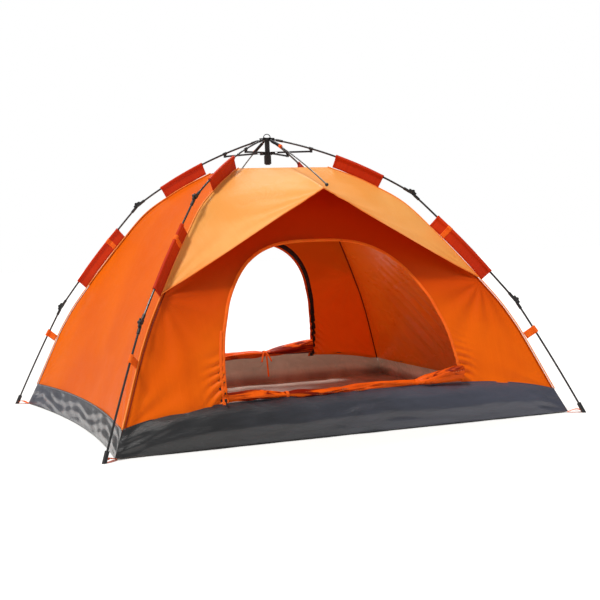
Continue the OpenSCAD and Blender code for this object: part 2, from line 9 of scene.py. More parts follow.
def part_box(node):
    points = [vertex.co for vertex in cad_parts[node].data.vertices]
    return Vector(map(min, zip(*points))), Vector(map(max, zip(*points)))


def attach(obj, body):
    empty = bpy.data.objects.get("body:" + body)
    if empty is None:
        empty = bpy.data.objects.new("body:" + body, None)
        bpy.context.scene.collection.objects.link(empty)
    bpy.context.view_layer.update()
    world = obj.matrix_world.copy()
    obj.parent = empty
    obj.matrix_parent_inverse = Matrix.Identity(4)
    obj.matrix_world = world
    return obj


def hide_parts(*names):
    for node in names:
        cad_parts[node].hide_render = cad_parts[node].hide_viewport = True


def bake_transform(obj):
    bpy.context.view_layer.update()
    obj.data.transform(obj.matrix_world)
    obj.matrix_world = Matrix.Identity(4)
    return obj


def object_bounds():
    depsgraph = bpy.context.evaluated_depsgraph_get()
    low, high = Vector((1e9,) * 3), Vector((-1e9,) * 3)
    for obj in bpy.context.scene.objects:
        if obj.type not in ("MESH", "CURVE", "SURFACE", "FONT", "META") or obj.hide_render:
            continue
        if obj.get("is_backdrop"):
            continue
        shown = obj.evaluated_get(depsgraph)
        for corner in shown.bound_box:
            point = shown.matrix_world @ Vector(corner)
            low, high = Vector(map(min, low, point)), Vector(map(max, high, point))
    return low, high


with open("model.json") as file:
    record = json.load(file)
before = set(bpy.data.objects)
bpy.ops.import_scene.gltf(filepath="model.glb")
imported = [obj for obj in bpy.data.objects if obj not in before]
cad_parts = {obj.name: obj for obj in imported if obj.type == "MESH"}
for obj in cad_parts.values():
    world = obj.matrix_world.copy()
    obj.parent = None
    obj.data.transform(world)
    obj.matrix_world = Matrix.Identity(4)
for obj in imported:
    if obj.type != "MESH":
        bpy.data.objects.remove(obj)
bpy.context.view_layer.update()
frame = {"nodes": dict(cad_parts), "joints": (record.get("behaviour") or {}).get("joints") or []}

scene = bpy.context.scene
joints = {j["name"]: j for j in frame["joints"]}

# ---- Camera, floor and light ----
# The tent stands on a plain pale floor under soft studio light: a broad key lamp from the left and
# above, a weaker one from behind, and a white sky all round that fills the shade.
camera_at = (-2.027, -5.230, 0.8005)
camera_yaw, camera_pitch, camera_roll = (math.radians(a) for a in (22.477, -3.067, -2.039))
camera_lens = 72.28
floor_size = 60.0
floor_drop = 0.0006  # keeps the floor's face clear of the soles of the feet

ahead = Vector((math.sin(camera_yaw) * math.cos(camera_pitch),
                math.cos(camera_yaw) * math.cos(camera_pitch), math.sin(camera_pitch)))
level = Vector((math.cos(camera_yaw), -math.sin(camera_yaw), 0.0))
steep = level.cross(ahead)
right = math.cos(camera_roll) * level + math.sin(camera_roll) * steep
up = math.cos(camera_roll) * steep - math.sin(camera_roll) * level
camera = bpy.data.objects.new("camera", bpy.data.cameras.new("camera"))
camera.data.lens = camera_lens
camera.matrix_world = Matrix.Translation(camera_at) @ Matrix((right, up, -ahead)).transposed().to_4x4()
scene.collection.objects.link(camera)
scene.camera = camera
scene.view_settings.view_transform = "Standard"

sky_light, sky_seen = 0.34, 1.0
world = bpy.data.worlds.new("sky")
world.use_nodes = True
sky_nodes = world.node_tree
sky = sky_nodes.nodes["Background"]
sky.inputs["Color"].default_value = (1.0, 1.0, 1.0, 1.0)
rays = sky_nodes.nodes.new("ShaderNodeLightPath")
strength = sky_nodes.nodes.new("ShaderNodeMapRange")
strength.inputs["To Min"].default_value = sky_light
strength.inputs["To Max"].default_value = sky_seen
sky_nodes.links.new(rays.outputs["Is Camera Ray"], strength.inputs["Value"])
sky_nodes.links.new(strength.outputs[0], sky.inputs["Strength"])
scene.world = world


def add_light(name, kind, energy, turn, tilt, spread, colour=(1.0, 1.0, 1.0)):
    """A sun lamp turned about the upright axis by turn and raised by tilt above the floor, in degrees."""
    light = bpy.data.objects.new(name, bpy.data.lights.new(name, kind))
    light.data.energy = energy
    light.data.color = colour
    light.data.angle = math.radians(spread)
    light.rotation_euler = (math.radians(90 - tilt), 0.0, math.radians(turn))
    scene.collection.objects.link(light)
    return light


add_light("key", "SUN", 3.0, -82, 66, 8, (1.0, 0.98, 0.94))
add_light("back_key", "SUN", 0.9, 160, 48, 20)


class Wire:
    """A socket in a material's node tree. Arithmetic on it adds Math nodes."""

    def __init__(self, finish, socket):
        self.finish = finish
        self.socket = socket

    def math(self, operation, a, b=0.0):
        return self.finish.make("ShaderNodeMath", {"operation": operation}, {0: a, 1: b})

    def __add__(self, other):
        return self.math("ADD", self, other)

    def __sub__(self, other):
        return self.math("SUBTRACT", self, other)

    def __mul__(self, other):
        return self.math("MULTIPLY", self, other)

    def sine(self):
        return self.math("SINE", self)

    __radd__ = __add__
    __rmul__ = __mul__


def tint(code):
    """A colour code such as "#e06020" as linear red, green, blue and alpha."""
    parts = [int(code[i:i + 2], 16) / 255 for i in (1, 3, 5)]
    return tuple(p / 12.92 if p <= 0.04045 else ((p + 0.055) / 1.055) ** 2.4 for p in parts) + (1.0,)


class Finish:
    """A material in the making: make() adds a node of any type, plug() feeds a socket."""

    def __init__(self, name, **constants):
        self.material = bpy.data.materials.new(name)
        self.material.use_nodes = True
        self.tree = self.material.node_tree
        self.shader = self.tree.nodes["Principled BSDF"]
        for key, value in constants.items():
            self.shader.inputs[key.replace("_", " ")].default_value = value

    def plug(self, socket, value):
        if isinstance(value, Wire):
            self.tree.links.new(value.socket, socket)
        else:
            socket.default_value = value

    def make(self, kind, settings=None, sockets=None, output=0):
        node = self.tree.nodes.new(kind)
        for key, value in (settings or {}).items():
            setattr(node, key, value)
        for key, value in (sockets or {}).items():
            self.plug(node.inputs[key], value)
        return Wire(self, node.outputs[output])

    def feed(self, socket, value):
        self.plug(self.shader.inputs[socket], value)

    def place(self, stretch=(1.0, 1.0, 1.0)):
        """The point on the piece, in metres, stretched along the three axes."""
        where = self.make("ShaderNodeTexCoord", output="Object")
        return self.make("ShaderNodeMapping", {}, {"Vector": where, "Scale": stretch})

    def cut(self):
        """The two coordinates of the piece's flat cut, in metres."""
        flat = self.make("ShaderNodeUVMap", {"uv_map": "cut"})
        across = self.make("ShaderNodeSeparateXYZ", {}, {0: flat}, output="X")
        along = self.make("ShaderNodeSeparateXYZ", {}, {0: flat}, output="Y")
        return across, along

    def noise(self, scale, detail=3.0, stretch=(1.0, 1.0, 1.0), twist=0.0, vector=None):
        """Fractal noise from 0 to 1, with scale cells to the metre."""
        return self.make("ShaderNodeTexNoise", {}, {"Vector": vector or self.place(stretch), "Scale": scale,
                                                    "Detail": detail, "Distortion": twist})

    def mixed(self, share, a, b):
        """Colour a turning into colour b as share goes from 0 to 1."""
        return self.make("ShaderNodeMix", {"data_type": "RGBA"}, {0: share, 6: a, 7: b}, output=2)

    def stepped(self, value, low, high):
        """value stretched so that low becomes 0 and high becomes 1, held at both ends."""
        return self.make("ShaderNodeMapRange", {"interpolation_type": "SMOOTHSTEP"},
                         {"Value": value, "From Min": low, "From Max": high})

    def bumped(self, *layers):
        """A normal from layers of (height, distance in metres), each laid over the one before."""
        normal = None
        for height, distance in layers:
            sockets = {"Height": height, "Distance": distance, "Strength": 1.0}
            if normal is not None:
                sockets["Normal"] = normal
            normal = self.make("ShaderNodeBump", {}, sockets)
        self.feed("Normal", normal)


pale_floor = Finish("pale_floor", Roughness=0.9, Base_Color=(0.93, 0.93, 0.93, 1.0))
bpy.ops.mesh.primitive_plane_add(size=floor_size, location=(0, 0, -floor_drop))
floor = bpy.context.object
floor.name = "floor"
floor.data.materials.append(pale_floor.material)
floor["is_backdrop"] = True

# ---- Leg rods and brow poles ----
# Each leg is three black glass-fibre rods, drawn to size, lacquered and pushed into the elbows'
# sockets; two thinner ones push the awnings out. The lacquer is scuffed along its length.
rod_lacquer = Finish("rod_lacquer", Coat_Weight=0.25, Coat_Roughness=0.2)
scuff = rod_lacquer.noise(55, 6, (1, 1, 0.3))
wear_and_painted_shade = rod_lacquer.stepped(scuff, 0.6, 0.78)
rod_lacquer.feed("Base Color", rod_lacquer.mixed(wear_and_painted_shade, tint("#17171a"), tint("#4a4a4e")))
rod_lacquer.feed("Roughness", wear_and_painted_shade * 0.3 + 0.3)
rod_lacquer.bumped((rod_lacquer.noise(900, 2, (1, 1, 0.05)), 0.00012), (scuff, 0.0003))

LEGS = {"front_left": (-1, -1), "front_right": (1, -1), "rear_left": (-1, 1), "rear_right": (1, 1)}
ENDS = {"front": -1, "rear": 1}


def dress(finish, *nodes):
    """Puts a finish on CAD nodes whose shape is right."""
    for node in nodes:
        frame["nodes"][node].data.materials.clear()
        frame["nodes"][node].data.materials.append(finish.material)


dress(rod_lacquer, *[f"{leg}_{part}_pole" for leg in LEGS for part in ("upper", "middle", "lower")])
dress(rod_lacquer, *[f"{end}_brow_pole" for end in ENDS])

# ---- Hub, runner, elbows and feet ----
# The hub, the runner with its handle, the folding elbows, struts and feet are moulded in black
# glass-filled nylon. It has a fine spark grain, a faint mottle and greyed wear in scattered patches.
black_nylon = Finish("black_nylon")
mottle = black_nylon.noise(40, 5)
rub = black_nylon.stepped(black_nylon.noise(130, 4), 0.6, 0.8)
black_nylon.feed("Base Color", black_nylon.mixed(rub * 0.6, black_nylon.mixed(
    mottle, tint("#101012"), tint("#1d1d20")), tint("#3c3c40")))
black_nylon.feed("Roughness", mottle * 0.2 + 0.36)
grain = black_nylon.make("ShaderNodeTexVoronoi", {}, {"Vector": black_nylon.place(), "Scale": 1400})
black_nylon.bumped((grain, 0.0001), (mottle, 0.0004))
dress(black_nylon, "hub_cap", "hub_post", "runner", "pull_ring", *[f"{end}_brow_ball" for end in ENDS])
dress(black_nylon, *[f"{leg}_{part}" for leg in LEGS
                     for part in ("upper_fittings", "middle_fittings", "lower_fitting", "foot", "strut")])

# ---- Hinge pins ----
# Turned steel pins across the hub's slots, bright where they were cut and dull with oil.
pin_steel = Finish("pin_steel", Metallic=1.0)
oil = pin_steel.noise(90, 4)
pin_steel.feed("Base Color", pin_steel.mixed(oil, tint("#8c8e93"), tint("#5d5f64")))
pin_steel.feed("Roughness", oil * 0.3 + 0.25)
pin_steel.bumped((pin_steel.noise(1500, 2, (1, 1, 0.1)), 0.0001))
dress(pin_steel, "hinge_pins")

# ---- Zip sliders ----
# Die-cast sliders with a long puller, painted black; the paint has chipped to zinc on the edges.
slider_paint = Finish("slider_paint", Metallic=0.4)
chip = slider_paint.stepped(slider_paint.noise(420, 3), 0.64, 0.72)
slider_paint.feed("Base Color", slider_paint.mixed(chip, tint("#19191b"), tint("#86888c")))
slider_paint.feed("Roughness", chip * 0.2 + 0.35)
slider_paint.bumped((chip * -1.0, 0.0002), (slider_paint.noise(700), 0.0001))
dress(slider_paint, *[f"{end}_zip_slider" for end in ENDS])

# ---- Springs on the brow poles ----
# A close-wound spring steel coil lets each brow pole bend over when the hub folds. It is wound on
# a mandrel from round wire, blackened, and ends in a steel eye that hangs on the hub's pin.
spring_wire_r = 0.0013
spring_turns = 34
spring_cup_l = 0.016
tie_w = 0.014

hub_pin = np.array(joints["frame_fold"]["pos_m"])
leg_cos, leg_sin = abs(hub_pin[:2]) / np.hypot(*hub_pin[:2])
pin_r, pin_z = np.hypot(*hub_pin[:2]), hub_pin[2]


def corners(node):
    """The corner points of a CAD node's mesh, one row each."""
    mesh = frame["nodes"][node].data
    flat = np.empty(len(mesh.vertices) * 3, np.float32)
    mesh.vertices.foreach_get("co", flat)
    return flat.reshape(-1, 3).astype(float)


def build(name, points, faces, finishes, uv=None, which=None, smooth=True, normals=None):
    """A mesh object from arrays: points (n, 3), quads or a list of faces, and per-corner uv."""
    mesh = bpy.data.meshes.new(name)
    mesh.from_pydata(points.tolist(), [], faces.tolist() if hasattr(faces, "tolist") else faces)
    for finish in finishes:
        mesh.materials.append(finish.material)
    if which is not None:
        mesh.polygons.foreach_set("material_index", which)
    mesh.polygons.foreach_set("use_smooth", np.full(len(mesh.polygons), smooth))
    if uv is not None:
        mesh.uv_layers.new(name="cut").data.foreach_set("uv", uv.astype(np.float32).ravel())
    if normals is not None:
        mesh.normals_split_custom_set_from_vertices(normals.tolist())
    mesh.update()
    piece = bpy.data.objects.new(name, mesh)
    scene.collection.objects.link(piece)
    return piece


def unit(vectors):
    """Vectors scaled to length one."""
    return vectors / np.maximum(np.linalg.norm(vectors, axis=-1, keepdims=True), 1e-12)


def sweep(name, path, outline, finish, over=(0.0, 0.0, 1.0), scale=1.0):
    """A closed outline carried along a path: each point is path + side * x + over * y, where side
    is the tangent crossed with over, and scale widens the outline from place to place."""
    path = np.asarray(path, float)
    count, sides = len(path), len(outline)
    tangent = unit(np.gradient(path, axis=0))
    side = unit(np.cross(tangent, np.broadcast_to(over, path.shape)))
    rise = np.cross(side, tangent)
    size = np.broadcast_to(scale, (count,))[:, None, None]
    shape = np.asarray(outline, float)[None]
    points = path[:, None] + size * (side[:, None] * shape[..., :1] + rise[:, None] * shape[..., 1:])
    ring = np.arange(count * sides).reshape(count, sides)
    turned = np.roll(ring, -1, axis=1)
    quads = np.stack([ring[:-1], turned[:-1], turned[1:], ring[1:]], -1).reshape(-1, 4)
    faces = quads.tolist() + [ring[0, ::-1].tolist(), ring[-1].tolist()]
    run = np.concatenate([[0], np.linalg.norm(np.diff(path, axis=0), axis=1).cumsum()])
    edge = np.linalg.norm(np.roll(outline, -1, 0) - np.asarray(outline), axis=1)
    round_it = np.concatenate([[0], edge.cumsum()])
    a, b = np.broadcast_arrays(run[:-1, None], round_it[None, :-1])
    c, d = np.broadcast_arrays(run[1:, None], round_it[None, 1:])
    uv = np.stack([np.stack([a, b], -1), np.stack([a, d], -1), np.stack([c, d], -1),
                   np.stack([c, b], -1)], -2).reshape(-1, 2)
    uv = np.concatenate([uv, np.zeros((2 * sides, 2))])
    return build(name, points.reshape(-1, 3), faces, [finish], uv)


def ellipse(a, b, sides=12):
    """An outline of half-widths a and b."""
    turn = np.arange(sides) * 2 * math.pi / sides
    return np.stack([a * np.cos(turn), b * np.sin(turn)], -1)


def circle_through(points):
    """The circle that fits points (r, z) best, by least squares: its centre and its radius."""
    sums = np.column_stack([2 * points, np.ones(len(points))])
    a, b, c = np.linalg.lstsq(sums, (points ** 2).sum(1), rcond=None)[0]
    return np.array([a, b]), math.sqrt(c + a * a + b * b)


def rod_line(node, x_share, y_share):
    """A bowed rod's centre line in its own upright plane: the circle's centre and radius, and the
    angles of its start and its end. The shares turn x and y into distance from the hub's axis."""
    found = corners(node)
    flat = np.stack([found[:, 0] * x_share + found[:, 1] * y_share, found[:, 2]], -1)
    centre, radius = circle_through(flat)
    turn = np.arctan2(*(flat - centre).T[::-1])
    return centre, radius, turn.max(), turn.min()


def on_line(line, distance, lift=0.0):
    """Points (r, z) at distances along a rod from its start, lifted off its centre line."""
    centre, radius, start, _ = line
    turn = start - np.asarray(distance) / radius
    return centre + (radius + np.asarray(lift))[..., None] * np.stack([np.cos(turn), np.sin(turn)], -1)


def upright(flat, x_share, y_share):
    """Points (r, z) of an upright plane put in space."""
    return np.stack([flat[..., 0] * x_share, flat[..., 0] * y_share, flat[..., 1]], -1)


spring_steel = Finish("spring_steel", Metallic=0.85)
soot = spring_steel.noise(160, 4)
spring_steel.feed("Base Color", spring_steel.mixed(soot, tint("#1c1c1f"), tint("#3a3a3e")))
spring_steel.feed("Roughness", soot * 0.25 + 0.3)
spring_steel.bumped((spring_steel.noise(900, 2), 0.0001))

webbing = Finish("webbing", Specular_IOR_Level=0.2)
across, along = webbing.cut()
ribs = (across * (2 * math.pi / 0.0022)).sine()
threads = (along * (2 * math.pi / 0.0012)).sine()
faded = webbing.stepped(webbing.noise(30, 4), 0.35, 0.75)
webbing.feed("Base Color", webbing.mixed(faded * 0.5, tint("#ff6408"), tint("#ff7e20")))
webbing.feed("Roughness", faded * 0.15 + 0.55)
webbing.bumped((ribs * threads, 0.0003), (webbing.noise(80), 0.0006))

for end, away in ENDS.items():
    pole = rod_line(f"{end}_brow_pole", 0.0, away)
    low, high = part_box(f"{end}_brow_spring")
    tube = corners(f"{end}_brow_spring")
    reach = np.hypot(np.abs(tube[:, 1]) - pin_r, tube[:, 2] - pin_z).max()
    start = np.hypot(*(on_line(pole, 0.0) - (pin_r, pin_z)))
    coil_l = reach - start - spring_cup_l - 0.002
    coil_r = (high.x - low.x) / 2 - spring_wire_r
    turns = np.linspace(0, spring_turns, spring_turns * 18)
    centre_line = upright(on_line(pole, spring_cup_l + coil_l * turns / spring_turns), 0.0, away)
    forward = unit(np.gradient(centre_line, axis=0))
    outward = np.cross(forward, (1.0, 0.0, 0.0))
    spin = 2 * math.pi * turns[:, None]
    helix = centre_line + coil_r * (np.cos(spin) * (1.0, 0.0, 0.0) + np.sin(spin) * outward)
    wire = ellipse(spring_wire_r, spring_wire_r, 8)
    coil = sweep(f"{end}_spring_coil", helix, wire, spring_steel, forward.mean(0))
    cup_path = upright(on_line(pole, np.linspace(-0.5 * spring_cup_l, spring_cup_l + 0.004, 6)), 0.0, away)
    cup_r = coil_r - 0.0008
    cup = sweep(f"{end}_spring_cup", cup_path, ellipse(cup_r, cup_r, 24), spring_steel, (1, 0, 0),
                np.array([0.80, 0.98, 1.0, 1.0, 0.98, 0.9]))
    pin = np.array([pin_r, pin_z])
    eye_path = pin + (on_line(pole, 0.0) - pin) * np.linspace(0.25, 0.75, 4)[:, None]
    eye_path = upright(eye_path, 0.0, away)
    shank = sweep(f"{end}_spring_shank", eye_path, ellipse(0.0036, 0.0036, 20), spring_steel, (1, 0, 0))
    turn = np.linspace(0, 2 * math.pi, 28)
    loop = upright(np.array([pin_r, pin_z]) + 0.0034 * np.stack([np.cos(turn), np.sin(turn)], -1), 0.0, away)
    eye = sweep(f"{end}_spring_eye", loop, ellipse(0.0034, 0.0011, 14), spring_steel, (1, 0, 0))
    tie_at = spring_cup_l + coil_l + np.linspace(-tie_w / 2, tie_w / 2, 5)
    tie_r = coil_r + 0.0026
    tie = sweep(f"{end}_spring_tie", upright(on_line(pole, tie_at), 0.0, away), ellipse(tie_r, tie_r, 28),
                webbing, (1, 0, 0), np.array([0.94, 1.0, 0.97, 1.0, 0.94]))
    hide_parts(f"{end}_brow_spring")
    for part, slot in ((coil, "spring_steel"), (cup, "spring_steel"), (shank, "spring_steel"),
                       (eye, "spring_steel"), (tie, "webbing")):
        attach(part, f"{end}_brow")

# ---- Canopy walls and roof ----
# The canopy is orange polyester taffeta, cut in panels and sewn at the four corner seams, with a
# silvery proofing inside. Stretched between bowed rods it pulls in a little between the seams.
cloth_t = 0.0014
seam_steps = 90
side_hollow = 0.046      # how far a side wall pulls in at its middle
end_hollow = 0.020       # and a door wall
roof_crown = 0.006


def smooth_line(points, count):
    """A Catmull-Rom curve through points, then count places spaced evenly along it."""
    ends = np.concatenate([[2 * points[0] - points[1]], points, [2 * points[-1] - points[-2]]])
    a, b, c, d = (ends[i:len(ends) - 3 + i, None] for i in range(4))
    t = np.linspace(0, 1, 24, endpoint=False)[None, :, None]
    square, cube = 2 * a - 5 * b + 4 * c - d, 3 * b - a - 3 * c + d
    curve = 0.5 * (2 * b + (c - a) * t + square * t ** 2 + cube * t ** 3)
    curve = np.concatenate([curve.reshape(-1, points.shape[1]), points[-1:]])
    run = np.concatenate([[0], np.linalg.norm(np.diff(curve, axis=0), axis=1).cumsum()])
    even = np.linspace(0, run[-1], count)
    return np.stack([np.interp(even, run, curve[:, i]) for i in range(points.shape[1])], -1)


def in_leg_plane(node):
    """A node's corner points near the front left leg, as distance from the axis and height."""
    found = corners(node)
    found = found[(found[:, 0] < 0) & (found[:, 1] < 0)]
    return np.stack([-found[:, 0] * leg_cos - found[:, 1] * leg_sin, found[:, 2]], -1)


rows = np.unique(in_leg_plane("left_wall").round(5), axis=0)
rows = rows[np.argsort(-rows[:, 1])]
seam = smooth_line(rows.reshape(-1, 2, 2)[:, 0], seam_steps)
seam_share = np.linspace(0, 1, seam_steps)


def seam_at(share):
    """The point (r, z) a share of the way down the corner seam."""
    return np.stack([np.interp(share, seam_share, seam[:, i]) for i in (0, 1)], -1)


def share_at(height):
    """The share of the corner seam that lies above a height."""
    return np.interp(-np.asarray(height), -seam[:, 1], seam_share)


def ripples(a, b, seed, count, low, high):
    """A sum of sine waves over a and b with random directions, from low to high waves a metre."""
    chance = np.random.default_rng(seed)
    heading = chance.uniform(0, math.pi, count)
    wave = 2 * math.pi * chance.uniform(low, high, count)
    phase = chance.uniform(0, 2 * math.pi, count)
    angle = wave * (np.cos(heading) * a[..., None] + np.sin(heading) * b[..., None]) + phase
    return np.sin(angle).sum(-1) / math.sqrt(count)


def fan(a, b, at, spokes, reach, phase=0.0):
    """Tension creases that spread from a point: a cosine of the angle round it, strongest at reach."""
    da, db = a - at[0], b - at[1]
    far = np.hypot(da, db) / reach
    return np.cos(spokes * np.arctan2(db, da) + phase) * far * np.exp(1 - far)


def cloth(name, points, outer, inner, kept=None, cuts=(), thick=cloth_t, outside=(0.0, 0.0, 0.45)):
    """Closed sheets from one grid of points (rows, columns, 3): the inner face lies thick under the
    outer one, along the grid's own normals, and a rim joins them wherever a kept face has no
    neighbour. cuts are the columns where the cloth is parted; normals run on across them."""
    row_n, col_n = points.shape[:2]
    normal = unit(np.cross(np.gradient(points, axis=1), np.gradient(points, axis=0)))
    faced = (normal * (points - np.array(outside))).sum(-1).mean() > 0
    normal = normal if faced else -normal
    both = np.concatenate([points.reshape(-1, 3), (points - thick * normal).reshape(-1, 3)])
    both_normals = np.concatenate([normal.reshape(-1, 3), -normal.reshape(-1, 3)])
    across = np.linalg.norm(np.diff(points, axis=1), axis=2).cumsum(1)
    across = np.concatenate([np.zeros((row_n, 1)), across], 1)
    down = np.linalg.norm(np.diff(points, axis=0), axis=2).cumsum(0)
    down = np.concatenate([np.zeros((1, col_n)), down], 0)
    flat = np.tile(np.stack([across - across[:, col_n // 2:col_n // 2 + 1], down], -1).reshape(-1, 2), (2, 1))
    count = row_n * col_n
    index = np.arange(count).reshape(row_n, col_n)
    quads = np.stack([index[:-1, :-1], index[:-1, 1:], index[1:, 1:], index[1:, :-1]], -1)
    kept = np.ones((row_n - 1, col_n - 1), bool) if kept is None else kept
    made = []
    edges = [0, *cuts, col_n - 1]
    for number, (first, last) in enumerate(zip(edges[:-1], edges[1:])):
        mine = np.zeros_like(kept)
        mine[:, first:last] = kept[:, first:last]
        padded = np.pad(mine, 1)
        bare = [~padded[:-2, 1:-1], ~padded[1:-1, 2:], ~padded[2:, 1:-1], ~padded[1:-1, :-2]]
        rims = [quads[mine & bare[k]][:, [k, (k + 1) % 4]] for k in range(4)]
        rims = np.concatenate(rims)
        rims = np.concatenate([rims[:, ::-1], rims + count], 1)
        tops = quads[mine]
        faces = np.concatenate([tops, tops[:, ::-1] + count, rims])
        faces = faces if faced else faces[:, ::-1]
        used, compact = np.unique(faces, return_inverse=True)
        which = np.repeat([0, 1, 0], [len(tops), len(tops), len(rims)]).astype(np.int32)
        label = name if len(edges) == 2 else f"{name}_{number + 1}"
        made.append(build(label, both[used], compact.reshape(-1, 4), [outer, inner],
                          flat[faces.ravel()], which, True, both_normals[used]))
    return made


def cut_sheet(piece, held, *rests_on):
    """Reads a sheet's flat cut and the area of each face, and does nothing more with them."""
    flat = np.empty(len(piece.data.loops) * 2, np.float32)
    piece.data.uv_layers["cut"].data.foreach_get("uv", flat)
    areas = np.empty(len(piece.data.polygons), np.float32)
    piece.data.polygons.foreach_get("area", areas)


def hemmed(lateral):
    """1 over most of a panel and 0 at its side edges, so that neighbouring panels meet there."""
    return 1 - np.clip(np.abs(lateral), 0, 1) ** 24


def sheer(finish, colour, share):
    """Lets a share of the light through a thin cloth."""
    glow = finish.make("ShaderNodeBsdfTranslucent", {}, {"Color": colour})
    mix = finish.tree.nodes.new("ShaderNodeMixShader")
    mix.inputs["Fac"].default_value = share
    finish.tree.links.new(finish.shader.outputs[0], mix.inputs[1])
    finish.tree.links.new(glow.socket, mix.inputs[2])
    finish.tree.links.new(mix.outputs[0], finish.tree.nodes["Material Output"].inputs["Surface"])


def taffeta(name, light, deep, gloss=0.42, glow=None, share=0.3, crease=0.0012, thread=0.0011):
    """Woven polyester: two sine waves over the flat cut make the threads, faint streaks run along
    the warp where threads differ, and slow noise makes the creases and the fading."""
    finish = Finish(name, Specular_IOR_Level=0.12)
    across, along = finish.cut()
    weave = (across * (2 * math.pi / thread)).sine() * (along * (2 * math.pi / thread)).sine()
    flat = finish.make("ShaderNodeUVMap", {"uv_map": "cut"})
    warp = finish.make("ShaderNodeMapping", {}, {"Vector": flat, "Scale": (260, 3, 1)})
    streak = finish.noise(1.0, 2, vector=warp)
    slow = finish.noise(2.2, 3, twist=0.6)
    fine = finish.noise(14, 5, twist=1.2)
    shade = finish.stepped(slow * 0.7 + streak * 0.2 + fine * 0.1, 0.36, 0.66)
    finish.feed("Base Color", finish.mixed(shade, light, deep))
    finish.feed("Roughness", fine * 0.16 + (gloss - 0.08))
    finish.bumped((fine, crease), (finish.noise(60, 3), crease * 0.12), (weave, 0.00006))
    if glow is not None:
        sheer(finish, glow, share)
    return finish


side_cloth = taffeta("side_cloth", tint("#ec6e04"), tint("#e26204"), glow=tint("#ff7a1c"), share=0.2)
roof_cloth = taffeta("roof_cloth", tint("#ee7406"), tint("#e66804"), glow=tint("#ff8a2c"), share=0.25)


def lining_finish(name, light, deep, silver, gloss=0.3, glow=0.10):
    """The proofed inner face: the cloth's colour, greyed low down and towards the front by a film that is
    partly a silvered coating and partly painted reflection of the grey floor, with a painted orange glow for
    light through the cloth.
    """
    # Painted light: the lining glows with a constant orange emission of strength glow, standing in for light
    # that comes through the cloth.
    finish = Finish(name, Specular_IOR_Level=0.3, Emission_Strength=glow)
    finish.feed("Emission Color", tint("#ff8410"))
    crinkle = finish.noise(6, 6, (1, 0.4, 1.2), 0.3)
    creases = finish.make("ShaderNodeTexVoronoi", {"feature": "DISTANCE_TO_EDGE"},
                          {"Vector": finish.place((1, 0.4, 0.8)), "Scale": 9})
    slow = finish.noise(2.4, 3, twist=0.8)
    base = finish.mixed(finish.stepped(slow, 0.35, 0.65), light, deep)
    low = finish.make("ShaderNodeSeparateXYZ", {}, {0: finish.place()}, output="Z")
    back = finish.make("ShaderNodeSeparateXYZ", {}, {0: finish.place()}, output="Y")
    # Painted reflection: the film greys the lining low down and towards the front, where the grey floor would
    # be reflected; partly it is the silvered coating.
    coating_and_painted_reflection = finish.stepped(low * -1.0 + slow * 0.4 - back * 0.5, -0.30, 0.22) * silver
    finish.feed("Base Color", finish.mixed(coating_and_painted_reflection, base, tint("#a8826a")))
    finish.feed("Roughness", crinkle * 0.2 + (gloss - 0.08))
    finish.bumped((crinkle, 0.004), (finish.stepped(creases, 0.0, 0.10), 0.0008 * (silver + 0.4)))
    sheer(finish, tint("#ff8a20"), 0.42)
    return finish


wall_lining = lining_finish("wall_lining", tint("#f4741a"), tint("#e8600c"), 0.1)
# Painted light: this lining is a lighter copy of the wall lining, for the brightly lit inside of the right
# wall, with more of the painted floor reflection.
lit_silver_lining = lining_finish("lit_silver_lining", tint("#f79a30"), tint("#ea8420"), 0.9, 0.26)


def wall_points(side, lateral, share, half_share, away_share, hollow, extra=0.0):
    """A wall between two corner seams. At a share of the way down the seam the wall lies away_share
    of its radius from the axis and spans half_share of it each way; lateral (-1..1) runs across, and
    the cloth pulls in by hollow times one minus lateral squared."""
    line = seam_at(share)
    radius, height = line[..., 0], line[..., 1]
    slack = np.clip(share / 0.55, 0, 1) * (1 - lateral ** 2)
    return lateral * radius * half_share, side * (radius * away_share - hollow * slack - extra), height


wall_cols, wall_rows = 200, 140
tub_z = seam[-1, 1]


def tub_top(lateral, door):
    """The height of the tub's seam: level on the sides, and raised under a door, by up to 62 mm."""
    return tub_z + (0.062 * (1 - np.abs(lateral) ** 5) if door else 0.012 * (1 - lateral ** 2))


for name, side, inner in (("left", -1, wall_lining), ("right", 1, lit_silver_lining)):
    lateral, drop = np.meshgrid(np.linspace(-1, 1, wall_cols + 1), np.linspace(0, 1, wall_rows + 1))
    share = drop * share_at(tub_top(lateral, False) - 0.012)
    inward = 0.0035 * ripples(lateral, drop, 3 + side, 9, 0.6, 2.2) * (1 - lateral ** 4) * drop
    for corner in (-1, 1):
        inward = inward + 0.0030 * fan(lateral, drop, (corner * 1.02, 1.02), 13, 0.16, corner)
        inward = inward + 0.0022 * fan(lateral, drop, (corner * 1.02, 0.40), 11, 0.14, 2 * corner)
    if name == "right":
        slant = drop * 0.75 + lateral * 0.45 + 0.03 * ripples(lateral, drop, 8, 6, 0.5, 2.4)
        near_door = np.exp(-((lateral + 0.05) / 0.42) ** 2 - ((drop - 0.80) / 0.18) ** 2)
        inward = inward + 0.0075 * near_door * (np.sin(95 * slant) + 0.6 * np.sin(61 * slant + 1))
    y, x, z = wall_points(side, lateral, share, leg_sin, leg_cos, side_hollow, inward * hemmed(lateral))
    halves = cloth(f"{name}_wall_cloth", np.stack([x, y, z], -1), side_cloth, inner, None, (wall_cols // 2,))
    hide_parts(f"{name}_wall")
    for half, leg, sign in ((halves[0], f"front_{name}", -1), (halves[1], f"rear_{name}", 1)):
        reach = seam[-1, 0] * leg_sin
        cut_sheet(half, "stretched", f"{leg}_upper_sleeve")
        sign * reach
        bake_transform(half)

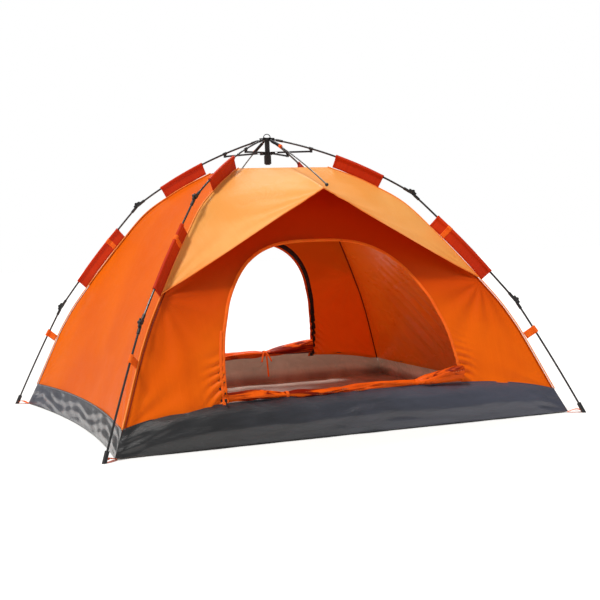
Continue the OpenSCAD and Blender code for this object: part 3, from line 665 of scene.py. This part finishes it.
roof_r, roof_z = seam[0]
roof_steps = 24
for name, (sx, sy) in LEGS.items():
    a, b = np.meshgrid(np.linspace(0, 1, roof_steps + 1), np.linspace(0, 1, roof_steps + 1))
    waves = 0.0012 * ripples(a * sx, b * sy, 21, 6, 0.5, 1.6)
    crown = roof_crown * (1 - a ** 2) * (1 - b ** 2) + waves * (1 - a) * (1 - b)
    quarter = np.stack([a * sx * roof_r * leg_cos, b * sy * roof_r * leg_sin, roof_z + 0.0022 + crown], -1)
    piece, = cloth(f"roof_cloth_{name}", quarter, roof_cloth, wall_lining)
    cut_sheet(piece, "stretched", f"{name}_upper_sleeve")
    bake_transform(piece)
    if name == "front_left":
        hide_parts("roof_panel")

# ---- Door walls ----
# The front and rear walls are a cloth set back under the awnings, painted darker red towards the top
# for the shadow that the awning casts. Each has a tall arched doorway, with jambs that lean in a little
# and a round top, cut out and bound with bright tape.
door_half, door_sill, door_top = 0.525, 0.165, 0.778
pleat_x = 0.12            # the strip over each door that follows its brow pole
pleat_share = 0.16        # the share of the columns that it takes
door_cols, door_rows = 200, 170

door_cloth = taffeta("door_cloth", tint("#f87008"), tint("#ee6404"), glow=tint("#ff5a08"),
                     share=0.2, crease=0.002)
# Painted shadow: the door cloth turns dark red towards the top, for the shadow that the awning casts on it.
low = door_cloth.make("ShaderNodeSeparateXYZ", {}, {0: door_cloth.place()}, output="Z")
painted_awning_shadow = door_cloth.stepped(low + door_cloth.noise(4, 3) * 0.06, 0.30, 0.80)
woven = Wire(door_cloth, door_cloth.shader.inputs["Base Color"].links[0].from_socket)
door_cloth.feed("Base Color", door_cloth.mixed(painted_awning_shadow, woven, tint("#b83402")))


def outline_distance(x, z):
    """How far a point (x, z) lies outside the doorway, roughly in metres, and the point where a ray
    to it from the middle of the sill crosses the outline, (x / half) ** 3 + u ** 2 = 1, where u is
    the share of the doorway's height. Newton's rule finds the share of the ray. The jambs run on below."""
    a = (np.abs(x) / door_half) ** 3
    b = (np.maximum(z - door_sill, 0) / (door_top - door_sill)) ** 2
    share = 1 / np.maximum(np.maximum(np.cbrt(a), np.sqrt(b)), 1e-3)
    for _ in range(12):
        slope = np.maximum(3 * a * share ** 2 + 2 * b * share, 1e-9)
        share = share - (a * share ** 3 + b * share ** 2 - 1) / slope
    above = z > door_sill
    near_x = share * x
    near_z = np.where(above, door_sill + share * (z - door_sill), z)
    far = np.where(above, np.hypot(near_x, near_z - door_sill), door_half)
    return (1 / share - 1) * far, near_x, near_z


def columns(count, strip, share):
    """Columns from -1 to 1: a share of them within the strip, the rest outside, evenly."""
    inner = np.linspace(0, strip, int(count / 2 * share) + 1)
    outer = np.linspace(strip, 1, count // 2 - len(inner) + 2)[1:]
    half = np.concatenate([inner, outer])
    return np.concatenate([-half[:0:-1], half])


def pleated(lateral, radius):
    """Distance across for a lateral share: straight up and down within the pleat, and spread
    from there to the corner seam outside it."""
    far = radius * leg_cos
    size = np.abs(lateral)
    out = np.where(size < pleat_share, pleat_x * size / pleat_share,
                   pleat_x + (far - pleat_x) * (size - pleat_share) / (1 - pleat_share))
    return np.sign(lateral) * out


def door_wall_depth(x, z, away, seed=0):
    """The distance (signed by away) of a door wall from the axis at x and height z."""
    share = share_at(z)
    radius = seam_at(share)[..., 0]
    lateral = np.clip(x / (radius * leg_cos), -1, 1)
    inward = 0.004 * ripples(x, z, 31 + seed, 8, 0.8, 2.6) * (1 - lateral ** 4)
    for sign in (-1, 1):
        inward = inward + 0.0025 * fan(x, z, (sign * 0.95, tub_z), 15, 0.17, sign)
        inward = inward + 0.0035 * fan(x, z, (sign * 0.72, 0.571), 12, 0.12, 1.0)
        fold = np.exp(-((np.abs(x) - 0.70) / 0.045) ** 2) * np.clip((0.62 - z) / 0.3, 0, 1)
        inward = inward - 0.006 * fold * (np.sign(x) == sign)
        bunch = np.exp(-((np.abs(x) - door_half - 0.02) / 0.05) ** 2) * np.exp(-((z - 0.2) / 0.14) ** 2)
        wander = 2.6 * ripples(x * 2, z * 2, 91 + seed, 9, 1.0, 3.0)
        inward = inward - 0.006 * bunch * np.sin(z * 150 + np.abs(x) * 90 + wander) * (np.sign(x) == sign)
    hollow = end_hollow * np.clip(share / 0.5, 0, 1) * (1 - lateral ** 2)
    return away * (radius * leg_sin - hollow - inward * hemmed(lateral))


door_columns = columns(door_cols, pleat_share, pleat_share)
for end, away in ENDS.items():
    lateral, drop = np.meshgrid(door_columns, np.linspace(0, 1, door_rows + 1))
    share = drop * share_at(tub_top(lateral, True) - 0.012)
    line = seam_at(share)
    x, z = pleated(lateral, line[..., 0]), line[..., 1]
    gap, near_x, near_z = outline_distance(x, z)
    inside = gap < 0.0012
    kept = ~(inside[:-1, :-1] & inside[:-1, 1:] & inside[1:, 1:] & inside[1:, :-1])
    shown = np.pad(kept, 1)
    edge = inside & (shown[:-1, :-1] | shown[:-1, 1:] | shown[1:, :-1] | shown[1:, 1:])
    x, z = np.where(edge, near_x, x), np.where(edge, near_z, z)
    y = door_wall_depth(x, z, away, away)
    strip = int(door_cols / 2 * pleat_share)
    middle = len(lateral[0]) // 2
    cuts = (middle - strip, middle, middle + strip)
    parts = cloth(f"{end}_wall_cloth", np.stack([x, y, z], -1), door_cloth, wall_lining, kept, cuts)
    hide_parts(f"{end}_wall")
    far = seam[-1, 0] * leg_cos
    bodies = (f"{end}_left_upper", f"{end}_brow", f"{end}_brow", f"{end}_right_upper")
    for number, (part, body) in enumerate(zip(parts, bodies)):
        sign = -1 if number < 2 else 1
        side_strip = number in (0, 3)
        cut_sheet(part, "stretched", f"{end}_{'left' if number < 2 else 'right'}_upper_sleeve")
        if side_strip:
            sign * pleat_x
            sign * far
            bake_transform(part)
        else:
            sign * pleat_x
            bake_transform(part)

# ---- Awnings ----
# A lighter cloth is stretched over each door from the corner seams to a ridge under its brow pole,
# and hemmed along the brim over a bright piping cord.
awning_rise = 0.0026      # the awning lies this far over the wall at the corner seams
awning_belly = 0.007
awning_rows = 70
piping_r = 0.0026
found = corners("front_awning")
brim_share = share_at(found[:, 2].min() + cloth_t)
found = found[np.abs(found[:, 0]) < 0.001]
peak = found[np.argmin(found[:, 1])]
peak_y, peak_z = -peak[1], peak[2]
ridge_y, ridge_z = roof_r * leg_sin + awning_rise, roof_z + 0.003

awning_cloth = taffeta("awning_cloth", tint("#ffb664"), tint("#fda84e"), glow=tint("#ff9a40"),
                       share=0.2, crease=0.0016)
# Painted shade: the awning's lining is a dark red copy of the lining, for the shade under the awning.
awning_lining = lining_finish("awning_lining", tint("#c43a08"), tint("#a82a06"), 0.1, 0.4)
piping_cloth = taffeta("piping_cloth", tint("#ffa45a"), tint("#f47a24"), thread=0.0008)
seam_way = unit(np.gradient(seam, axis=0))


def seam_lifted(share, lift):
    """The corner seam, moved out of the canopy by lift."""
    way = np.stack([np.interp(share, seam_share, seam_way[:, i]) for i in (0, 1)], -1)
    return seam_at(share) + lift * np.stack([-way[..., 1], way[..., 0]], -1)


def awning_points(lateral, drop, away):
    """Each facet is ruled from the corner seam to the ridge: the share of the way from the ridge is
    the share of the width. The ridge bows up, and each facet sags as four times the share times its rest."""
    line = seam_lifted(drop * brim_share, awning_rise)
    x = pleated(lateral, line[..., 0])
    share = np.abs(x) / (line[..., 0] * leg_cos)
    ridge_in = ridge_y + (peak_y - ridge_y) * drop
    ridge_up = ridge_z + (peak_z - ridge_z) * drop + 0.010 * np.sin(math.pi * drop)
    y = ridge_in + (line[..., 0] * leg_sin - ridge_in) * share
    z = ridge_up + (line[..., 1] - ridge_up) * share
    belly = awning_belly * 4 * share * (1 - share) * np.sin(math.pi * np.clip(drop, 0, 1) * 0.9)
    crease = 0.0016 * ripples(x, drop, 51, 7, 0.8, 2.4) * share * (1 - share) * 4 * drop
    crease = crease + 0.0018 * fan(x, drop, (0.0, 1.04), 17, 0.20)
    for sign in (-1, 1):
        crease = crease + 0.0016 * fan(x, drop, (sign * 0.74, 1.02), 14, 0.14, sign)
    sag = belly - crease * hemmed(share)
    return np.stack([x, away * (y - sag * 0.6), z - sag * 0.8], -1)


def along_end(piece, end, number):
    """Bakes the transform of one of the four strips over a door; the strip is not bent to follow the
    legs or the brow pole."""
    sign = -1 if number < 2 else 1
    if number in (0, 3):
        leg = f"{end}_left_upper" if number == 0 else f"{end}_right_upper"
        far = sign * seam[-1, 0] * leg_cos
        sign * pleat_x
        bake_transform(piece)
    else:
        sign * pleat_x
        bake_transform(piece)


for end, away in ENDS.items():
    lateral, drop = np.meshgrid(door_columns, np.linspace(0, 1, awning_rows + 1))
    middle = len(lateral[0]) // 2
    strip = int(door_cols / 2 * pleat_share)
    cuts = (middle - strip, middle, middle + strip)
    points = awning_points(lateral, drop, away)
    parts = cloth(f"{end}_awning_cloth", points, awning_cloth, awning_lining, None, cuts)
    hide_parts(f"{end}_awning")
    edges = (0, *cuts, points.shape[1] - 1)
    for number, part in enumerate(parts):
        cut_sheet(part, "stretched", f"{end}_brow_ball")
        along_end(part, end, number)
        brim = points[-1, edges[number]:edges[number + 1] + 1] + (0, away * 0.001, -0.001)
        cord = sweep(f"{end}_brim_piping_{number + 1}", brim, ellipse(piping_r, piping_r, 10),
                     piping_cloth, (0, 0, 1))
        along_end(cord, end, number)

# ---- Corner seams ----
# The panels meet in a felled seam with a bright piping cord outside and a dark tape inside, from
# the roof's corner down to the tub. The rods hold it up by the sleeves.
seam_tape = taffeta("seam_tape", tint("#8a2208"), tint("#6c1806"), gloss=0.5)

for leg, (sx, sy) in LEGS.items():
    outer = upright(seam_lifted(seam_share, awning_rise + piping_r * 0.6), sx * leg_cos, sy * leg_sin)
    inner = upright(seam_lifted(seam_share, -0.0045), sx * leg_cos, sy * leg_sin)
    lift = np.stack([-seam_way[:, 1] * sx * leg_cos, -seam_way[:, 1] * sy * leg_sin, seam_way[:, 0]], -1)
    cord = sweep(f"{leg}_corner_piping", outer, ellipse(piping_r, piping_r, 10), piping_cloth, lift)
    tape = sweep(f"{leg}_corner_tape", inner, ellipse(0.009, 0.0008, 10), seam_tape, lift)
    for piece in (cord, tape):
        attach(piece, f"{leg}_upper")

# ---- Door bindings and zips ----
# Bright woven tape binds the doorway's raw edge. A black coil zip on its own tape is sewn beside it,
# up the slider's jamb and over the arch; the slider parks at the foot of the jamb.
binding_w, binding_t = 0.0075, 0.0024
zip_gap = 0.012           # from the doorway's edge to the middle of the zip

zip_tape = Finish("zip_tape")
across, along = zip_tape.cut()
teeth = (across * (2 * math.pi / 0.0021)).sine()
zip_tape.feed("Base Color", zip_tape.mixed(zip_tape.noise(60, 4), tint("#141415"), tint("#262628")))
zip_tape.feed("Roughness", zip_tape.noise(35) * 0.2 + 0.45)
zip_tape.bumped((teeth, 0.0005), (zip_tape.noise(500), 0.0001))


def doorway(first, last, wider=0.0, count=60):
    """The doorway's outline from one distance across to another, from the left to the right: the
    angle t gives x = half * cos(t) ** (2 / 3) and the share sin(t) of the height. At a whole half the
    line runs on down its jamb. wider moves it out of the opening."""
    turn = np.linspace(math.pi, 0, 1200)
    x = door_half * np.sign(np.cos(turn)) * np.abs(np.cos(turn)) ** (2 / 3)
    z = door_sill + (door_top - door_sill) * np.sin(turn)
    x = np.concatenate([x[:1], x, x[-1:]])
    z = np.concatenate([z[:1] - 0.025, z, z[-1:] - 0.025])
    run = np.concatenate([[0], np.hypot(np.diff(x), np.diff(z)).cumsum()])
    ends = [run[0] if p <= -door_half else run[-1] if p >= door_half else np.interp(p, x[1:-1], run[1:-1])
            for p in (first, last)]
    even = np.linspace(*ends, count)
    x, z = np.interp(even, run, x), np.interp(even, run, z)
    way = unit(np.stack([np.gradient(x), np.gradient(z)], -1))
    return x - wider * way[:, 1], z + wider * way[:, 0]


def door_edge(away, first, last, wider, proud):
    """The outline laid on the door wall, proud of its outer face."""
    x, z = doorway(first, last, wider)
    y = door_wall_depth(x, z, away, away) + away * proud
    slope = (door_wall_depth(x, z + 0.01, away, away) - door_wall_depth(x, z - 0.01, away, away)) / 0.02
    over = unit(np.stack([np.zeros_like(x), np.full_like(x, away), -away * slope], -1))
    return np.stack([x, y, z], -1), over


stops = (-door_half, -pleat_x, 0.0, pleat_x, door_half)
flap_top = 0.440          # the height of the flap that covers the foot of the zip outside
for end, away in ENDS.items():
    for number, (first, last) in enumerate(zip(stops[:-1], stops[1:])):
        path, over = door_edge(away, first, last, 0.0, -cloth_t / 2)
        tape = sweep(f"{end}_door_binding_{number + 1}", path, ellipse(binding_w, binding_t, 14),
                     webbing, over)
        along_end(tape, end, number)
    slid = np.sign(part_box(f"{end}_zip_slider")[0].x)
    zipped = (2, 3) if slid > 0 else (1, 0)
    for number in zipped:
        first, last = stops[number], stops[number + 1]
        path, over = door_edge(away, first, last, zip_gap, -cloth_t - 0.0016)
        tape = sweep(f"{end}_zip_tape_{number + 1}", path, ellipse(0.012, 0.0007, 12), zip_tape, over)
        coil_path, over = door_edge(away, first, last, zip_gap, -cloth_t - 0.0036)
        coil = sweep(f"{end}_zip_coil_{number + 1}", coil_path, ellipse(0.0034, 0.0016, 10), zip_tape, over)
        for piece in (tape, coil):
            along_end(piece, end, number)
    first, last = (0.2, door_half) if slid > 0 else (-door_half, -0.2)
    path, over = door_edge(away, first, last, zip_gap, 0.0020)
    low = path[:, 2] < flap_top
    flap = sweep(f"{end}_zip_flap", path[low], ellipse(0.0060, 0.0014, 12), webbing, over[low])
    along_end(flap, end, 3 if slid > 0 else 0)

# ---- Rolled doors ----
# Each door is zipped down and rolled up along its sill, proofed side in, tied round with orange
# ribbons. The roll slackens and opens into a cone towards its free right end.
roll_turns = 6
roll_core = 0.005
roll_t = 0.0007
roll_over = 0.024         # how far each end of the roll tucks past the jamb
ribbon_w, ribbon_t = 0.0065, 0.0009
roll_steps, roll_cols = 150, 96

roll_cloth = taffeta("roll_cloth", tint("#f06008"), tint("#d84c06"), crease=0.004)
# Painted shade: long streaks along the roll are mixed to dark red, for the shade in its folds.
streaks = roll_cloth.noise(26, 3, (0.14, 1, 1), 1.4)
woven = Wire(roll_cloth, roll_cloth.shader.inputs["Base Color"].links[0].from_socket)
shadow = roll_cloth.stepped(streaks, 0.48, 0.60)
roll_cloth.feed("Base Color", roll_cloth.mixed(shadow, woven, tint("#7c1602")))
for end, away in ENDS.items():
    low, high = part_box(f"{end}_door_roll")
    length, size = high.x - low.x + 2 * roll_over, (high.z - low.z) / 2
    mid_y, mid_z = (low.y + high.y) / 2, (low.z + high.z) / 2
    ties = (-0.27, 0.31) if away < 0 else (0.25,)

    def girth(x):
        """How wide the roll is at x, as a share of its plain size."""
        open_end = np.clip((x - (ties[-1] + 0.01)) / (high.x - ties[-1]), 0, 1)
        pinch = sum(0.30 * np.exp(-((x - tie) / 0.030) ** 2) for tie in ties)
        return (0.92 + 0.12 * (away > 0) - pinch + 1.10 * open_end ** 1.2) + 0.03 * np.sin(9 * x + away)

    def middle_line(x):
        """The roll's axis: it sags between the ties and lifts to the right end."""
        open_end = np.clip((x - ties[-1]) / (high.x - ties[-1]), 0, 1)
        lift = 0.004 * np.sin(11 * x) - 0.006 * np.cos(5 * x) + 0.026 * open_end
        return mid_y + 0.006 * np.sin(7 * x + 1), mid_z + lift

    x, wind = np.meshgrid(np.linspace(low.x - roll_over, high.x + roll_over, roll_cols + 1),
                          np.linspace(0, 1, roll_steps + 1))
    turn = 2 * math.pi * roll_turns * wind + 0.7 * np.sin(3 * x)
    radius = (roll_core + (size - roll_core) * wind) * girth(x)
    radius = radius + wind * (0.0040 * ripples(x * 3, np.sin(turn), 61, 9, 0.6, 3.2)
                              + 0.0042 * np.sin(3 * turn + 5 * np.sin(4 * x + away) + 2 * x))
    axis_y, axis_z = middle_line(x)
    points = np.stack([x, axis_y + away * radius * np.cos(turn), axis_z + 0.80 * radius * np.sin(turn)], -1)
    roll, = cloth(f"{end}_rolled_door", points, roll_cloth, lit_silver_lining, thick=roll_t,
                  outside=(0, mid_y, mid_z))
    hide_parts(f"{end}_door_roll")
    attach(roll, "root")
    for number, tie in enumerate(ties):
        turn = np.linspace(0, 2 * math.pi, 40)
        ring = np.stack([np.zeros(40), away * np.cos(turn), np.sin(turn)], -1)
        reach = size * girth(np.array(tie)) * np.array([1, 1.03, 0.83]) + (0, 0.0012, 0.0012)
        axis_y, axis_z = middle_line(np.array(tie))
        knot = np.array([tie, axis_y, axis_z])
        loop = sweep(f"{end}_tie_loop_{number + 1}", knot + ring * reach, ellipse(ribbon_w, ribbon_t, 12),
                     webbing, ring)
        pieces = [loop]
        for side in (-1, 1):
            t = np.linspace(0, 1, 16)[:, None]
            fall = knot + (0, -away * size * 0.45, size * 0.42) + t * (side * 0.022, -away * 0.020, 0.004) \
                + t ** 2 * (side * 0.006, -away * 0.010, -0.055)
            tail = sweep(f"{end}_tie_tail_{number + 1}_{'ab'[side > 0]}", fall, ellipse(0.0045, 0.0007, 10),
                         webbing, (0, -away, 0.6))
            pieces.append(tail)
        if away > 0:
            t = np.linspace(0, 1, 20)[:, None]
            hung = knot + (0.004, -away * (size + 0.006), -0.004) + t * (0.003, -away * 0.012, -0.118)
            strap = sweep(f"{end}_hanging_strap", hung, ellipse(0.0050, 0.0007, 10), webbing, (0, -away, 0))
            pieces.append(strap)
        for piece in pieces:
            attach(piece, "root")

# ---- Tub floor ----
# The floor is a tub of heavy grey polyester with a glossy proofing: four low sides sewn up from the
# groundsheet, wrinkled at the corners and bellied out under the doors, silver-grey inside.
tub_cols, tub_rows = 150, 26
floor_hollow = 0.066      # how far the floor's side edges are pulled in at their middle
door_hollow = 0.010
hem_r = 0.0030

tub_finish = Finish("tub_finish", Coat_Weight=0.5, Coat_Roughness=0.14)
across, along = tub_finish.cut()
weave = (across * (2 * math.pi / 0.0016)).sine() * (along * (2 * math.pi / 0.0016)).sine()
slow = tub_finish.noise(5, 4, (1, 1, 2.5), 1.0)
dust = tub_finish.stepped(tub_finish.noise(34, 5), 0.58, 0.8)
side_x = tub_finish.make("ShaderNodeSeparateXYZ", {}, {0: tub_finish.place()}, output="X")
side_y = tub_finish.make("ShaderNodeSeparateXYZ", {}, {0: tub_finish.place()}, output="Y")
# Painted shade and painted reflection: the grey is darker towards the front left and lighter and bluer
# towards the rear right, as light and sky reflection fall on the tub, broken up by slow noise.
wear_and_painted_shade = tub_finish.stepped(side_x + side_y * 0.8 + slow * 0.9 + 0.27, -0.8, 0.9)
shade = tub_finish.mixed(wear_and_painted_shade, tint("#121316"), tint("#3e4150"))
tub_finish.feed("Base Color", tub_finish.mixed(dust * 0.15, shade, tint("#50535e")))
tub_finish.feed("Roughness", slow * 0.2 + 0.27)
tub_finish.bumped((tub_finish.noise(9, 5, (0.5, 0.5, 2.2), 1.5), 0.006), (weave, 0.00012))

# Painted light: the floor lining glows with an emission that is faint at floor level and warmer and brighter
# from 2 to 7 cm up, for the light that fills the tent.
floor_lining = Finish("floor_lining", Coat_Weight=0.3, Coat_Roughness=0.15, Emission_Strength=0.13)
height = floor_lining.make("ShaderNodeSeparateXYZ", {}, {0: floor_lining.place()}, output="Z")
lit = floor_lining.stepped(height, 0.02, 0.07)
floor_lining.feed("Emission Color", floor_lining.mixed(lit, tint("#20140c"), tint("#d8ae92")))
crinkle = floor_lining.noise(7, 6, (1, 1, 0.6), 0.4)
creases = floor_lining.make("ShaderNodeTexVoronoi", {"feature": "DISTANCE_TO_EDGE"},
                            {"Vector": floor_lining.place((0.6, 1, 0.5)), "Scale": 11})
patches = floor_lining.stepped(crinkle, 0.4, 0.66)
floor_lining.feed("Base Color", floor_lining.mixed(patches, tint("#b8aaa0"), tint("#d6c8bc")))
floor_lining.feed("Roughness", crinkle * 0.22 + 0.22)
floor_lining.bumped((crinkle, 0.008), (floor_lining.stepped(creases, 0.0, 0.10), 0.0022))

floor_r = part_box("tub_skirt")[1].x / leg_cos


def tub_side(door, away, lateral, down):
    """A side of the tub: straight from the canopy's seam to the floor's edge, bellied out by a sine
    of the way down, with creases that spread from its two lower corners."""
    share = share_at(tub_top(lateral, door))
    radius, height = seam_at(share)[..., 0], seam_at(share)[..., 1]
    half_share, away_share = (leg_cos, leg_sin) if door else (leg_sin, leg_cos)
    top_out = radius * away_share - (end_hollow if door else side_hollow) * (1 - lateral ** 2) + 0.0022
    top_far = lateral * radius * half_share
    low_out = floor_r * away_share - (door_hollow if door else floor_hollow) * (1 - lateral ** 2) - 0.002
    low_far = lateral * (floor_r - 0.002) * half_share
    belly = (0.040 if door else 0.006) * (1 - lateral ** 6) * np.sin(math.pi * down ** 0.8)
    crease = 0.0032 * ripples(lateral * 1.5, down * 0.3, 71 + int(door), 10, 1.0, 5.0)
    crease = crease * np.sin(math.pi * down)
    wander = 0.35 * ripples(lateral, down * 0.2, 75 + int(door), 7, 0.5, 1.8)
    crease = crease + 0.0030 * np.sin(math.pi * down) * np.sin(2 * math.pi * (2.3 * down + wander))
    for sign in (-1, 1):
        near = np.exp(-(1 - sign * lateral) / 0.10)
        spread = down * 0.5 + (1 - sign * lateral) * 1.4
        crease = crease + 0.0060 * near * np.sin(math.pi * down) * np.sin(34 * spread)
    out = top_out + (low_out - top_out) * down + belly + crease * hemmed(lateral)
    far = top_far + (low_far - top_far) * down
    return far, away * out, height + (0.0035 - height) * down


lateral, down = np.meshgrid(np.linspace(-1, 1, tub_cols + 1), np.linspace(0, 1, tub_rows + 1))
for name, door, away in (("front", True, -1), ("rear", True, 1), ("left", False, -1), ("right", False, 1)):
    far, out, z = tub_side(door, away, lateral, down)
    points = np.stack([far, out, z] if door else [out, far, z], -1)
    halves = cloth(f"{name}_tub", points, tub_finish, floor_lining, None, (tub_cols // 2,), thick=0.0018)
    hem_path = points[0]
    for number, sign in enumerate((-1, 1)):
        end = "front" if sign < 0 else "rear"
        leg = f"{name}_{'left' if sign < 0 else 'right'}" if door else f"{end}_{name}"
        reach = seam[-1, 0] * (leg_cos if door else leg_sin)
        ends = dict(start=(0, 0, 0.1), end=(sign * reach, 0, 0.1) if door else (0, sign * reach, 0.1))
        part = halves[number]
        cut_sheet(part, "stretched", "groundsheet_cloth")
        span = slice(0, tub_cols // 2 + 1) if number == 0 else slice(tub_cols // 2, None)
        hem = sweep(f"{name}_tub_hem_{number + 1}", hem_path[span], ellipse(hem_r, hem_r * 0.6, 10),
                    tub_finish, (0, away, 0.3) if door else (away, 0, 0.3))
        for piece in (part, hem):
            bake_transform(piece)
    if name == "front":
        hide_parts("tub_skirt")

a, b = np.meshgrid(np.linspace(-1, 1, 141), np.linspace(-1, 1, 131))
half_x, half_y = (floor_r - 0.003) * leg_cos, (floor_r - 0.003) * leg_sin
lump = np.clip(ripples(a, b, 81, 14, 0.8, 4.0) * 0.5 + 0.5, 0, 1.6) * 0.006 * (1 - a ** 8) * (1 - b ** 8)
heap = np.exp(-((a + 0.30) / 0.26) ** 2 - ((b + 0.62) / 0.16) ** 2)
heap = heap * 0.030 * (1 + 0.45 * ripples(a * 4, b * 4, 83, 12, 1.2, 5))
ground = np.stack([a * (half_x - floor_hollow * (1 - b ** 2)), b * (half_y - door_hollow * (1 - a ** 2)),
                   0.0045 + lump + heap], -1)
sheet, = cloth("groundsheet_cloth", ground, floor_lining, tub_finish, outside=(0, 0, -9))
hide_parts("groundsheet")
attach(sheet, "root")
cut_sheet(sheet, "laid", "floor")

# ---- Sleeves, bands, straps and tabs ----
# Dark red sleeves of the heavier cloth wrap the upper and middle rods and are sewn down to the
# corner seams, hemmed at both ends; a bright webbing band reinforces each middle sleeve, a strap
# holds each lower rod, and a tab joins each corner of the floor to its foot.
sleeve_rod_r = 0.0078
sleeve_ply = 0.0014
sleeve_foot = 0.0515      # from the rod's axis to the seam that the sleeve is sewn to
hem_l = 0.009
band_l = 0.024

sleeve_cloth = taffeta("sleeve_cloth", tint("#cc3406"), tint("#b02604"), gloss=0.5, crease=0.0018,
                       thread=0.0016)


def sleeve_outline(grow=0.0):
    """Round over the rod, then two plies side by side down to the seam, all grown by grow."""
    turn = np.linspace(math.radians(-52), math.radians(232), 15)
    loop = (sleeve_rod_r + grow) * np.stack([np.cos(turn), np.sin(turn)], -1)
    down = np.linspace(-0.013, -sleeve_foot, 6)
    ply = np.stack([np.full(6, sleeve_ply + grow), down], -1)
    return np.concatenate([loop, ply * (-1, 1), ply[::-1]])


def on_rod(name, leg, line, first, last, body, finish, grow=0.0, steps=26, wave=0.0):
    """A sleeve, band or strap carried along a rod between two distances from its start."""
    sx, sy = LEGS[leg]
    distance = np.linspace(first, last, steps)
    path = upright(on_line(line, distance), sx * leg_cos, sy * leg_sin)
    lift = upright(on_line(line, distance, 0.01), sx * leg_cos, sy * leg_sin) - path
    flank = np.array([-sy * leg_sin, sx * leg_cos, 0.0])
    path = path + wave * np.sin(distance * 60)[:, None] * flank
    piece = sweep(name, path, sleeve_outline(grow), finish, lift)
    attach(piece, body)
    return piece


def reach_along(node, line):
    """The first and last distance along a rod that a CAD node of the front left leg takes up."""
    flat = in_leg_plane(node) - line[0]
    distance = (line[2] - np.arctan2(flat[:, 1], flat[:, 0])) * line[1]
    return distance.min(), distance.max()


lines = {part: rod_line(f"front_left_{part}_pole", -leg_cos, -leg_sin)
         for part in ("upper", "middle", "lower")}
for leg, (sx, sy) in LEGS.items():
    body = f"{leg}_upper"
    for part in ("upper", "middle"):
        line = lines[part]
        first, last = reach_along(f"{part}_sleeves", line)
        sleeve = on_rod(f"{leg}_{part}_sleeve", leg, line, first, last, body, sleeve_cloth)
        for place, start in (("top", first), ("bottom", last - hem_l)):
            on_rod(f"{leg}_{part}_sleeve_hem_{place}", leg, line, start, start + hem_l, body, sleeve_cloth,
                   0.0007, 5)
        if leg == "front_left":
            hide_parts(f"{part}_sleeves")
    first, last = reach_along("middle_sleeves", lines["middle"])
    band_at = first + 0.19 * (last - first)
    on_rod(f"{leg}_sleeve_band", leg, lines["middle"], band_at, band_at + band_l, body, webbing,
           0.0011, 6)
    first, last = reach_along("lower_straps", lines["lower"])
    strap = on_rod(f"{leg}_rod_strap", leg, lines["lower"], first, last, body, webbing, -0.0003, 8)
    foot_low, foot_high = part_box(f"{leg}_foot")
    foot_r = np.hypot((foot_low.x + foot_high.x) / 2, (foot_low.y + foot_high.y) / 2)
    tab_r = np.linspace(floor_r - 0.006, foot_r - 0.004, 14)
    tab_flat = np.stack([tab_r, 0.0035 + 0.011 * np.sin(np.linspace(0, 2.2, 14)) ** 2], -1)
    tab = sweep(f"{leg}_corner_tab", upright(tab_flat, sx * leg_cos, sy * leg_sin),
                ellipse(0.012, 0.0011, 14), webbing, (0, 0, 1))
    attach(tab, body)
    if leg == "front_left":
        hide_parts("lower_straps")
        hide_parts("corner_tabs")

low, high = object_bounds()
